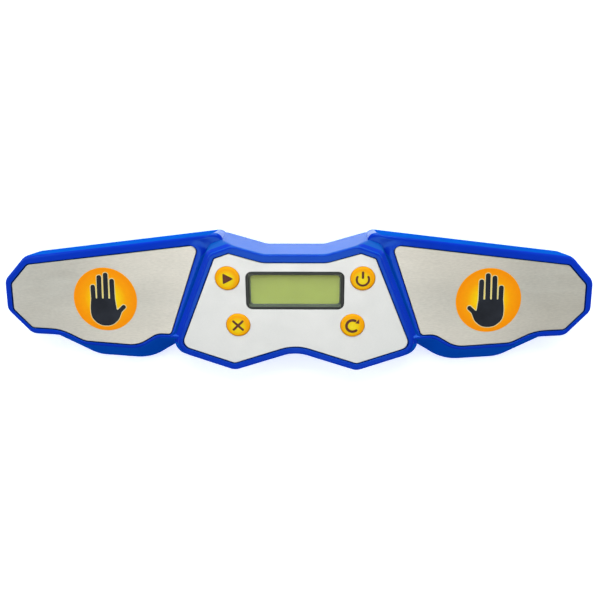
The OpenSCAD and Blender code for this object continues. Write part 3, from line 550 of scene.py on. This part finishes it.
# Finishes of the frame's own pieces, by how their names end.
FINISHES = {"display_window": window_clear, "display_glass": display_green, "display_holder": holder_white,
    "main_board": board_green, "controller_chip": chip_black, "crystal": nickel, "battery_door": blue_lower,
    "face_plate": face_silver, "display_bezel": bezel_dark, "zebra_strip": zebra, "_switch": switch_black,
    "_plunger": plunger_brown, "_screws": zinc, "_nut": zinc, "_contact": nickel, "_lead": lead_red,
    "_foot": rubber, "_cell": sleeve, "touch_plate": touch_metal, "housing": blue, "_button": icon_brown}

for name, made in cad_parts.items():
    finish = next(value for ending, value in FINISHES.items() if name.endswith(ending))
    if not made.material_slots:
        made.data.materials.append(finish)
    for place in made.material_slots:
        place.material = finish


# ---- Upper housing ---------------------------------------------------------------------------------------
GROOVE = [(0, -0.42), (0.06, -0.2), (0.2, -0.04), (0.4, 0)]     # (way from the parting line, inset)
HOLLOW_R = 1.5
TOP_WALLS = WALL + np.array([0, 1, 1, 1, 1, 0.6, 0.4, 0.4, 0.4, 0.6])     # the wings' walls below the deck
DECK_CUT, WING_CUT, LEDGE_TOP = FACE_DECK + DECK_T + 1, 8, 0.3            # drops where cuts end


def groove(foot, radii, way):
    """Rounded edge at the parting line, from the line outwards: upwards for a way of 1, downwards for -1."""
    return [level(rounded(grow(foot, inset), radii), SPLIT_H + way * gap) for gap, inset in GROOVE]


def pocket_steps(*drops):
    """The lip of a plate's pocket, then its straight wall through the drops."""
    reach, _, corner_radius = POCKET_LIP[-1]
    return POCKET_LIP + [(reach, drop, corner_radius) for drop in drops]


def wing_radii(reach):
    """Corner radii of a grown touch plate outline, with the corner behind the console rounded by itself."""
    radii = grown_radii(PLATE_CORNERS, PLATE_RADII, reach)
    radii[0] = WING_SHOULDER_R
    return radii


def wing_form():
    """Right wing: sloped walls, a rounded top edge, a flat rim beside its valley, and the plate's pocket.

    The top edge is a parabola that leaves the wall and meets the rim along their own directions.
    On the inner edge the same rings make the valley's floor and a cosine step up to its ridge.
    """
    inner = np.arange(len(PLATE_CORNERS)) == 0
    foot_corners, foot_radii = grow(PLATE_CORNERS, WING_FEET), wing_radii(WING_FEET)
    rings = groove(foot_corners, foot_radii, 1)
    middle_x = (PLATE_CORNERS + np.roll(PLATE_CORNERS, -1, 0))[:, 0] / 2
    height = WING_H - middle_x * math.sin(WING_ROLL) - WING_ROLLS - SPLIT_H
    slope = (WING_FEET - WING_RIMS) / height
    corner_reach = WING_RIMS - WING_ROLLS * slope
    flat_reach = corner_reach - WING_ROLLS * np.hypot(slope, 1)
    outer, outer_radii = grow(PLATE_CORNERS, WING_RIMS), wing_radii(WING_RIMS)
    sunk = np.where(inner, VALLEY_DEPTH + 0.1, WING_ROLLS)
    base = level(rounded(foot_corners, foot_radii), SPLIT_H)
    top = on_wing(rounded(outer, outer_radii), spread(sunk))
    rings += [base + (top - base) * share for share in (0.06, 0.5, 0.96, 1.0)]

    def ring(reach, drop, radii):
        """One more ring: the plate's outline grown by reach and let down by drop, edge by edge."""
        rings.append(on_wing(rounded(grow(PLATE_CORNERS, reach), radii), spread(drop)))

    for t in np.linspace(0, 1, 7)[1:]:
        reach = (1 - t) ** 2 * WING_RIMS + 2 * t * (1 - t) * corner_reach + t ** 2 * flat_reach
        reach = np.where(inner, WING_REACH - VALLEY_IN * t, reach)
        ring(reach, np.where(inner, VALLEY_DEPTH, (1 - t) ** 2 * WING_ROLLS), wing_radii(reach))
    ends = np.stack([flat_reach, flat_reach], 1)
    for t in np.linspace(0, 1, 7):
        reach = ends + (RIM_END - ends) * (0.1 + 0.9 * t)
        reach[0] = RIDGE + RIDGE_SLOPE * (1 - t)
        drop = np.where(inner, VALLEY_DEPTH * (0.5 + 0.5 * np.cos(math.pi * t)), 0)
        radii = wing_radii(reach.mean(1))
        radii[0] = WING_SHOULDER_R + (RIDGE_CORNER_R - WING_SHOULDER_R) * (0.4 + 0.6 * t)
        ring(reach, drop, radii)
    for reach, drop, corner_radius in pocket_steps(0.4, WING_DECK - 0.05, WING_DECK):
        ring(reach, np.full(len(inner), drop), np.maximum(PLATE_RADII + GAP, corner_radius * inner))
    return loft(rings)


def flattened(corners):
    """Outline in the face's plane as seen from above."""
    return corners * [1, math.cos(FACE_TILT)]


def console_form():
    """Console: a level foot, waists on the shoulders' slopes, a small round on the rim, and a pocket."""
    rim = grow(FACE_CORNERS, FACE_RIMS)
    radii = grown_radii(FACE_CORNERS, FACE_RADII, FACE_RIMS)
    foot = grow(flattened(rim), CONSOLE_FEET)
    rings = groove(foot, radii, 1)
    for share, (flank, shoulder) in WAISTS.items():
        reach = CONSOLE_FEET * (1 - share)
        reach[FLANKS], reach[SHOULDERS] = flank, shoulder
        waist = rounded(grow(flattened(rim), reach), radii)
        rings.append(level(waist, SPLIT_H + (FACE_H + waist[:, 1] * math.tan(FACE_TILT) - SPLIT_H) * share))
    for a in np.radians([0, 18, 36, 54, 72, 90]):
        inset = -FACE_ROUND * (1 - math.cos(a))
        rings.append(on_face(rounded(grow(rim, inset), radii), FACE_ROUND * (1 - math.sin(a))))
    rings.append(on_face(rounded(grow(rim, -FACE_ROUND - 0.15), radii), 0))
    pocket_radii = FACE_RADII + GAP * (FACE_RADII < FACE_RADII[0])      # the notch keeps its own arc
    for reach, drop, _ in pocket_steps(0.36, FACE_DECK - 0.03, FACE_DECK):
        rings.append(on_face(rounded(grow(FACE_CORNERS, reach), pocket_radii), drop))
    return loft(rings)


def hollow(low, high, top_place, drop):
    """Hollow from one outline at the parting line up to another below a deck."""
    low, high = rounded(low, HOLLOW_R), rounded(high, HOLLOW_R)
    return loft([level(low, SPLIT_H - 1), level(low, SPLIT_H + 0.5), top_place(high, drop)])


wing_foot = grow(PLATE_CORNERS, WING_FEET)
wing_low, wing_high = grow(wing_foot, -WALL), grow(grow(PLATE_CORNERS, WING_RIMS), -TOP_WALLS)
console_rim = grow(FACE_CORNERS, FACE_RIMS)
console_foot = grow(flattened(console_rim), CONSOLE_FEET)
console_low, console_high = grow(console_foot, -WALL), grow(console_rim, -WALL - 0.4)

upper = make_object("upper_shell", [console_form()])
combine(upper, "UNION", both(wing_form()))
combine(upper, "DIFFERENCE", both(hollow(wing_low, wing_high, on_wing, WING_DECK + DECK_T)))
combine(upper, "DIFFERENCE", [hollow(console_low, console_high, on_face, FACE_DECK + DECK_T)])
boss_tops = [WING_H - x * math.tan(WING_ROLL) - WING_DECK - DECK_T / 2 for x, y in SCREWS[:2]]
boss_tops.append(FACE_H + SCREWS[2][1] * math.tan(FACE_TILT) - FACE_DECK - DECK_T / 2)
combine(upper, "UNION", both(*[post(x, y, BOSS_R, PAD_TOP, top) for (x, y), top in zip(SCREWS, boss_tops)]))
combine(upper, "UNION", posts(BOARD_SCREWS, BOARD_POST_R, BOARD_POST_DROP, FACE_DECK + DECK_T / 2, on_face))
display, ledge = display_outline(GAP), display_outline(BEZEL_LIP + GAP)
holes = [prism(display, DECK_CUT, 0, on_face)]
holes += posts(BUTTONS.values(), BUTTON_R + DECK_CLEAR, DECK_CUT, 0, on_face)
holes += both(post(*STUD, STUD_R + STUD_CLEAR, WING_CUT, 0, on_wing))
holes += both(*posts(SCREWS, PILOT_R, PAD_TOP - 0.02, PAD_TOP + PILOT_L))
holes += posts(BOARD_SCREWS, BOARD_PILOT_R, BOARD_PILOT_DROP, FACE_DECK + 0.9, on_face)
combine(upper, "DIFFERENCE", holes)
combine(upper, "DIFFERENCE", [prism(ledge, FACE_DECK + BEZEL_LIP_T, LEDGE_TOP, on_face)])
dress(upper, blue, "casing", "upper_housing")
# The housing's faces get the painted shade and painted light copies of the blue by the way they face.
PAINTED_SHADE_AND_LIGHT = [(blue_front_painted_shade, to_user), (blue_rear_painted_light, wing_rear), (blue_back_painted_light, console_rear)]
# The pockets round the plates take the painted shade.
sort_faces(upper, *PAINTED_SHADE_AND_LIGHT, (blue_gap_painted_shade, plate_gap_painted_shade))

# ---- Lower housing ---------------------------------------------------------------------------------------
BELLY_R, SUNK = 1.4, 0.2     # the bottom edge's round, and how far united pieces sink into the floor


def belly(foot, radii):
    """Underside: an outline drawn in round the bottom edge, straight up, and in again at the parting line."""
    rings = []
    for a in np.radians([0, 15, 30, 45, 60, 75, 90]):
        inset = -BELLY_R * (1 - math.sin(a))
        rings.append(level(rounded(grow(foot, inset), radii), BELLY_H + BELLY_R * (1 - math.cos(a))))
    return loft(rings + groove(foot, radii, -1)[::-1])


lower = make_object("lower_shell", [belly(console_foot, grown_radii(FACE_CORNERS, FACE_RADII, FACE_RIMS))])
combine(lower, "UNION", both(belly(wing_foot, wing_radii(WING_FEET))))
combine(lower, "DIFFERENCE", both(prism(rounded(wing_low, HOLLOW_R), FLOOR_H, SPLIT_H + 1)))
combine(lower, "DIFFERENCE", [prism(rounded(console_low, HOLLOW_R), FLOOR_H, SPLIT_H + 1)])
combine(lower, "UNION", both(*posts(SCREWS, SOCKET_R, BELLY_H + SUNK, PAD_TOP)))
combine(lower, "UNION", [block([-BAY_HW - BAY_WALL, BAY_Y - BAY_HL - BAY_WALL, BELLY_H + SUNK],
    [2 * (BAY_HW + BAY_WALL), 2 * (BAY_HL + BAY_WALL), BAY_TOP + CEILING_T - BELLY_H - SUNK])])
seats = both(*posts(SCREWS, SCREW_HOLE_R, 0, PAD_TOP + 1),
    *posts(FEET.values(), FOOT_SEAT_R, 0.2, BELLY_H + FOOT_SEAT))
bay = block([-BAY_HW, BAY_Y - BAY_HL, 0], [2 * BAY_HW, 2 * BAY_HL, BAY_TOP])
combine(lower, "DIFFERENCE", seats + [bay])
door_front, door_rear = BAY_Y - DOOR_HL, BAY_Y + DOOR_HL
head_holes = both(*posts(SCREWS, SCREW_HEAD_R, 0, BELLY_H + SCREW_HEAD_SINK))
doorway = block([-DOOR_HW - GAP, door_front - GAP, 0],
    [2 * (DOOR_HW + GAP), 2 * (DOOR_HL + GAP), BELLY_H + DOOR_T + 0.1])
combine(lower, "DIFFERENCE", head_holes + [doorway])
slots = [block([x - HOOK_HW, door_front - GAP, BELLY_H], [2 * HOOK_HW, BAY_WALL, SLOT_H]) for x in HOOK_XS]
slots.append(block([-LATCH_HW, door_rear - BAY_WALL, BELLY_H], [2 * LATCH_HW, BAY_WALL + 0.9, SLOT_H]))
combine(lower, "DIFFERENCE", slots)
pockets = [block([x - HOOK_HW, door_front - HOOK_REACH, FLOOR_H],
    [2 * HOOK_HW, BAY_WALL + HOOK_REACH, HOOK_POCKET_H]) for x in HOOK_XS]
pockets += [block([TAB_X - 0.5, BAY_Y + y - TAB_HW, BAY_TOP - 1], [1, 2 * TAB_HW, 4]) for y in TAB_YS]
pockets.append(post(0, door_rear + SCOOP_BACK, SCOOP_R, 0, BELLY_H + SCOOP_DEPTH))
combine(lower, "DIFFERENCE", pockets)
dress(lower, blue_lower, "casing", "lower_housing")
# The lower housing gets the same painted shade and painted light by the way its faces look.
sort_faces(lower, *PAINTED_SHADE_AND_LIGHT)


# ---- Plates ----------------------------------------------------------------------------------------------
PLATE_EDGE = 0.16
PLATE_CUT = 3     # drop of the cuts through the face plate


def plate_form(corners, radii, thickness, place):
    """Sheet with a slightly rounded top edge, its top at the plates' depth below the rims."""
    rings = [place(rounded(corners, radii), PLATE_SINK + thickness)]
    for a in np.radians([0, 30, 60, 90]):
        reach = -PLATE_EDGE * (1 - math.cos(a))
        rings.append(place(rounded(grow(corners, reach), radii), PLATE_SINK + PLATE_EDGE * (1 - math.sin(a))))
    rings.append(place(rounded(grow(corners, -PLATE_EDGE - 0.1), radii), PLATE_SINK))
    return loft(rings)


touch_sheet = plate_form(PLATE_CORNERS, PLATE_RADII, TOUCH_PLATE_T, on_wing)
stud_top = PLATE_SINK + TOUCH_PLATE_T / 2
stud = post(*STUD, STUD_R, stud_top + STUD_L, stud_top, on_wing)
for side in ("right", "left"):
    plate = make_object(side + "_touch_sheet", [on_side(side, touch_sheet)])
    combine(plate, "UNION", [on_side(side, stud)])
    dress(plate, touch_metal, "casing", side + "_touch_plate")

face = make_object("face_sheet", [plate_form(FACE_CORNERS, FACE_RADII, FACE_PLATE_T, on_face)])
cap_holes = posts(BUTTONS.values(), BUTTON_R + CAP_CLEAR, PLATE_CUT, 0, on_face)
combine(face, "DIFFERENCE", [prism(display, PLATE_CUT, 0, on_face)] + cap_holes)
dress(face, face_silver, "casing", "face_plate")


# ---- Display bezel ---------------------------------------------------------------------------------------
def bezel_form():
    """Frame: one profile of (reach, drop) carried round the rounded rectangle and back to its start."""
    profile = [(0, BEZEL_FOOT), (0, 1.62), (BEZEL_LIP, 1.6), (BEZEL_LIP, 0.92), (0, 0.9), (0, 0.75)]
    profile += [(-0.03, 0.6), (-0.12, 0.47), (-0.25, 0.41), (-0.42, 0.4)]
    inner_edge = [(0.45, 0.4), (0.3, 0.42), (0.16, 0.5), (0.08, 0.62)]
    profile += [(-BEZEL_BAND + way, drop) for way, drop in inner_edge]
    profile += [(-BEZEL_BAND, 1.6), (-BEZEL_BAND, WINDOW_DROP), (-BEZEL_BAND - WINDOW_SEAT, WINDOW_DROP),
        (-BEZEL_BAND - WINDOW_SEAT, BEZEL_FOOT)]
    rings = []
    for reach, drop in profile:
        radius = BEZEL_R + min(max(reach, -BEZEL_BAND), 0)
        rings.append(on_face(display_outline(reach, radius), drop))
    return loft(rings, closed=True)


def bezel_inside(normal, centre):
    """The bezel's inner wall, which gets the painted light."""
    across, up = np.abs(centre[:, 0]), np.abs(centre[:, 1] - DISPLAY_Y)
    return (across < BEZEL_W / 2 - BEZEL_BAND + 0.1) & (up < BEZEL_H / 2 - BEZEL_BAND + 0.3)


bezel = make_object("display_frame", [bezel_form()])
dress(bezel, bezel_dark, "casing", "display_bezel")
# The inner wall of the black frame takes the painted light.
sort_faces(bezel, (bezel_inner_painted_light, bezel_inside))


# ---- Buttons and their printed marks ---------------------------------------------------------------------
MARK_LEVELS = [-0.08, 0.04]     # a mark's underside and top, above the cap's crown


def cap_height(x, y):
    """Height of a cap's crown above the rim's plane, less by the square of the distance from the middle."""
    return CAP_TOP - CAP_CROWN * (x ** 2 + y ** 2) / (BUTTON_R - CAP_ROUND) ** 2


def arc(radius, first, last, centre=(0, 0), steps=40):
    """Path on a circle between two angles in degrees."""
    angle = np.radians(np.linspace(first, last, steps))
    return np.stack([np.cos(angle), np.sin(angle)], 1) * radius + centre


def line(start, end, steps=24):
    """Straight path whose points crowd towards its ends."""
    t = (1 - np.cos(np.linspace(0, math.pi, steps))) / 2
    return np.array(start) * (1 - t[:, None]) + np.array(end) * t[:, None]


def ribbon(path, width, raised=0.0):
    """Flat strip along a path on a cap's crown, with round ends: its width there is that of a circle.

    Across: the path's normal times -1 to 1. The second strip of a cross is raised a little.
    """
    path = np.asarray(path, float)
    step = np.gradient(path, axis=0)
    step /= np.linalg.norm(step, axis=1)[:, None]
    gone = np.concatenate([[0], np.cumsum(np.linalg.norm(np.diff(path, axis=0), axis=1))])
    end = np.minimum(gone, gone[-1] - gone)
    reach = np.clip(1 - end / (width / 2), 0, 1)
    half = np.maximum(np.sqrt(1 - reach ** 2), 0.08) * width / 2
    normal = np.stack([-step[:, 1], step[:, 0]], 1)
    across = np.array([-1, -0.5, 0, 0.5, 1])
    top = path[:, None] + normal[:, None] * (half[:, None] * across)[..., None]
    flat = np.concatenate([top[:, ::-1], top], 1)
    height = cap_height(flat[..., 0], flat[..., 1]) + raised + np.repeat(MARK_LEVELS, len(across))
    return loft(np.concatenate([flat, height[..., None]], 2))


def filled(corners, radius):
    """Rounded patch: its outline drawn in towards its middle, ring by ring, on the cap's crown."""
    outline = rounded(corners, radius)
    centre = outline.mean(0)
    under, top = MARK_LEVELS
    rings = [level(outline, cap_height(*outline.T) + under)]
    for share in (1, 0.8, 0.6, 0.4, 0.2, 0.05):
        ring = centre + (outline - centre) * share
        rings.append(level(ring, cap_height(*ring.T) + top))
    return loft(rings)


def cap_profile():
    """Cap by radius and drop, bottom first: stem, flange, wall, round edge and crown."""
    profile = [(STEM_R, STEM_DROP), (STEM_R, FLANGE_DROP + FLANGE_T), (FLANGE_R, FLANGE_DROP + FLANGE_T),
        (FLANGE_R, FLANGE_DROP), (BUTTON_R, FLANGE_DROP), (BUTTON_R, 0.9)]
    for a in np.radians(np.linspace(0, 78, 8)):
        rise = CAP_TOP - CAP_CROWN - CAP_ROUND * (1 - math.sin(a))
        profile.append((BUTTON_R - CAP_ROUND + CAP_ROUND * math.cos(a), -rise))
    return profile + [(r, -cap_height(r, 0)) for r in (5, 4.6, 4, 3.2, 2.4, 1.6, 0.8, 0.25)]


MARKS = {
    "play": [filled([[-2.1, -2.8], [3.2, 0], [-2.1, 2.8]], 0.4)],
    "power": [ribbon(arc(2.95, 140, 400, (0, -0.3)), 1.05), ribbon(line((0, 0.1), (0, 3.85)), 1.15)],
    "cancel": [ribbon(line((-2.7, -2.6), (2.7, 2.6)), 1.15),
        ribbon(line((-2.7, 2.6), (2.7, -2.6)), 1.15, raised=0.005)],
    "reset": [ribbon(arc(3.0, 52, 322), 1.35), filled([[1.2, 1.4], [3.3, 1.2], [3.2, 3.6]], 0.15)],
}
PAINTED_LIGHT_SHIFT = [-0.3, -0.5, 0]     # partly print, partly painted light: the amber print's yellow middle is moved a little off the cap's own to paint the light on the dome
for key, (x, y) in BUTTONS.items():
    # The amber print is centred off the cap by the painted light shift.
    middle = on_face([[x, y]], -CAP_TOP)[0] + PAINTED_LIGHT_SHIFT
    amber = radial(key + "_amber", middle, BUTTON_R, BUTTON_AMBER, 0.36, **PRINT)
    cap = make_object(key + "_cap", [turned(cap_profile(), (x, y), on_face)])
    dress(cap, amber, key + "_key", key + "_button")
    strips = [(on_face(points[:, :2] + [x, y], -points[:, 2]), faces) for points, faces in MARKS[key]]
    mark = make_object(key + "_mark", strips)
    dress(mark, icon_brown, key + "_key")

# ---- Palm marks ------------------------------------------------------------------------------------------
# Each finger: x of its tip, its top, half its width, and x of its foot.
FINGERS = [(5.87, 7.4, 1.18, 5.98), (2.38, 12.3, 1.22, 2.85), (-0.95, 13.55, 1.2, -0.43),
    (-3.94, 10.5, 1.2, -3.73)]
FINGER_FOOT = 0.45
THUMB_TIP, THUMB_R, THUMB_ALONG = np.array([-9.14, -3.8]), 1.05, np.array([-0.73, 0.68])
DISC_TOP, HAND_FOOT = PLATE_SINK - 0.12, PLATE_SINK - 0.08


def hand_outline():
    """Open hand, fingers up: straight fingers with round tips, a round palm and a short thumb to the side.

    Going round, each finger and the thumb end in a pair of corners whose radius is half their width, and wide
    arcs at five corners make the palm.
    """
    across = np.array([THUMB_ALONG[1], -THUMB_ALONG[0]])
    corners = [[-5.55, -5.7]] + [THUMB_TIP + THUMB_R * (THUMB_ALONG + side * across) for side in (1, -1)]
    corners += [[-7.95, -6.4], [-6.25, -10.4], [-2.55, -13.55], [3.6, -13.55], [7.8, -9.4], [7.8, -4.2]]
    radii = [0.45, THUMB_R, THUMB_R, 2.0, 6.5, 6.5, 6.8, 6.8, 6.0]
    for x, top, half, foot in FINGERS:
        corners += [[foot + half, FINGER_FOOT], [x + half, top], [x - half, top], [foot - half, FINGER_FOOT]]
        radii += [0.3, half, half, 0.3]
    return np.array(corners), np.array(radii)


def hand_points(swell):
    """Outline of the hand, grown by swell, anticlockwise."""
    corners, radii = hand_outline()
    radii = grown_radii(corners, radii, np.full(len(corners), swell))
    return rounded(grow(corners, swell), radii)


disc_centre = on_wing([DISC], 0)[0]
disc_profile = [(DISC_R - 0.05, PLATE_SINK + 0.1), (DISC_R, PLATE_SINK - 0.06),
    (DISC_R - 0.06, PLATE_SINK - 0.1), (DISC_R - 0.2, DISC_TOP), (1.0, DISC_TOP)]
disc_form = turned(disc_profile, DISC, on_wing, 120)
for side, sign in (("right", 1), ("left", -1)):
    amber = radial(side + "_palm_amber", disc_centre * [sign, 1, 1], DISC_R, PALM_AMBER, 0.45, **PRINT)
    disc = make_object(side + "_palm_disc", [on_side(side, disc_form)])
    dress(disc, amber, "casing")
    for name, swell, drop, finish in (("edge", 0.32, 0.24, hand_cream), ("hand", 0.0, 0.2, hand_black)):
        hand = prism(hand_points(swell) + DISC, HAND_FOOT, drop, on_wing)
        piece = make_object(f"{side}_palm_{name}", [on_side(side, hand)])
        dress(piece, finish, "casing")

# ---- Floor, light and camera -----------------------------------------------------------------------------
FLOOR_HALF = 3.0     # metres
floor_mesh = bpy.data.meshes.new("floor")
floor_corners = [(x * FLOOR_HALF, y * FLOOR_HALF, 0) for x, y in ((-1, -1), (1, -1), (1, 1), (-1, 1))]
floor_mesh.from_pydata(floor_corners, [], [(0, 1, 2, 3)])
floor = bpy.data.objects.new("floor", floor_mesh)
bpy.context.scene.collection.objects.link(floor)
FLOOR_GLOW = {"Emission Color": (0.36, 0.40, 0.7, 1), "Emission Strength": 1.0}
floor_finish = grained("floor_white", (0.92, 0.92, 0.95), 0.6, vary=0.004, rough_vary=0.02, patch=4,
    grain=300, depth=0.002, strength=0.05, **FLOOR_GLOW)
floor_mesh.materials.append(floor_finish)


def softbox(name, place, size, power, colour=(1, 1, 1)):
    """Square area light that faces the origin: its place and size in metres, its power in watts."""
    lamp = bpy.data.lights.new(name, "AREA")
    lamp.shape, lamp.size, lamp.energy, lamp.color = "SQUARE", size, power, colour
    made = bpy.data.objects.new(name, lamp)
    made.location = place
    made.rotation_euler = (-Vector(place)).to_track_quat("-Z", "Y").to_euler()
    bpy.context.scene.collection.objects.link(made)


softbox("softbox_rear", (0.0, 1.1, 0.9), 0.9, 17.0, (0.8, 0.93, 1.0))
softbox("softbox_top", (-0.06, -0.35, 1.3), 0.7, 4.6)
softbox("softbox_left", (-0.9, 0.2, 0.8), 0.6, 1.8)
softbox("softbox_right", (0.9, 0.2, 0.8), 0.6, 1.0, (1.0, 0.8, 0.5))

# The studio's glow, by direction: dark in front, pale blue at the rear and grey overhead.
DARK_FRONT, PALE_REAR, GREY_CEILING = (0.12, 0.12, 0.12), (0.8, 1.3, 1.6), (0.4, 0.4, 0.39)
world = bpy.data.worlds.new("studio")
bpy.context.scene.world = world
world.use_nodes = True
sky = world.node_tree
direction = sky.nodes.new("ShaderNodeTexCoord")
parts = sky.nodes.new("ShaderNodeSeparateXYZ")
sky.links.new(direction.outputs["Generated"], parts.inputs["Vector"])
rearward = between(sky, parts.outputs["Y"], 0, 1, (-0.4, 0.8))
walls = ramp(sky, rearward, [(0, DARK_FRONT), (1, PALE_REAR)])
overhead = ramp(sky, parts.outputs["Z"], [(0.3, (0, 0, 0)), (0.8, (1, 1, 1))])
glow = blend(sky, overhead, walls, GREY_CEILING)
sky.links.new(glow, sky.nodes["Background"].inputs["Color"])
sky.nodes["Background"].inputs["Strength"].default_value = 1.0

# The camera, as it was fitted to the photo: its lens, its place in millimetres and its axes.
LENS, SENSOR = 35.625, 36.0
CAMERA_X, CAMERA_Y, CAMERA_Z = 9.94, 65.26, 304.95
CAMERA_RIGHT, CAMERA_BACK = (0.9997, -0.0032, -0.0258), (0.0258, 0.2213, 0.9749)
camera_data = bpy.data.cameras.new("camera")
camera_data.lens, camera_data.sensor_width = LENS, SENSOR
camera = bpy.data.objects.new("camera", camera_data)
right, back = Vector(CAMERA_RIGHT).normalized(), Vector(CAMERA_BACK).normalized()
up = back.cross(right).normalized()
facing = Matrix((right, up, back)).transposed()
place = Vector((CAMERA_X, CAMERA_Y + SHIFT[1], CAMERA_Z)) * MM
camera.matrix_world = Matrix.Translation(place) @ facing.to_4x4()
bpy.context.scene.collection.objects.link(camera)
bpy.context.scene.camera = camera
bpy.context.scene.view_settings.view_transform = "Standard"

bpy.context.view_layer.update()
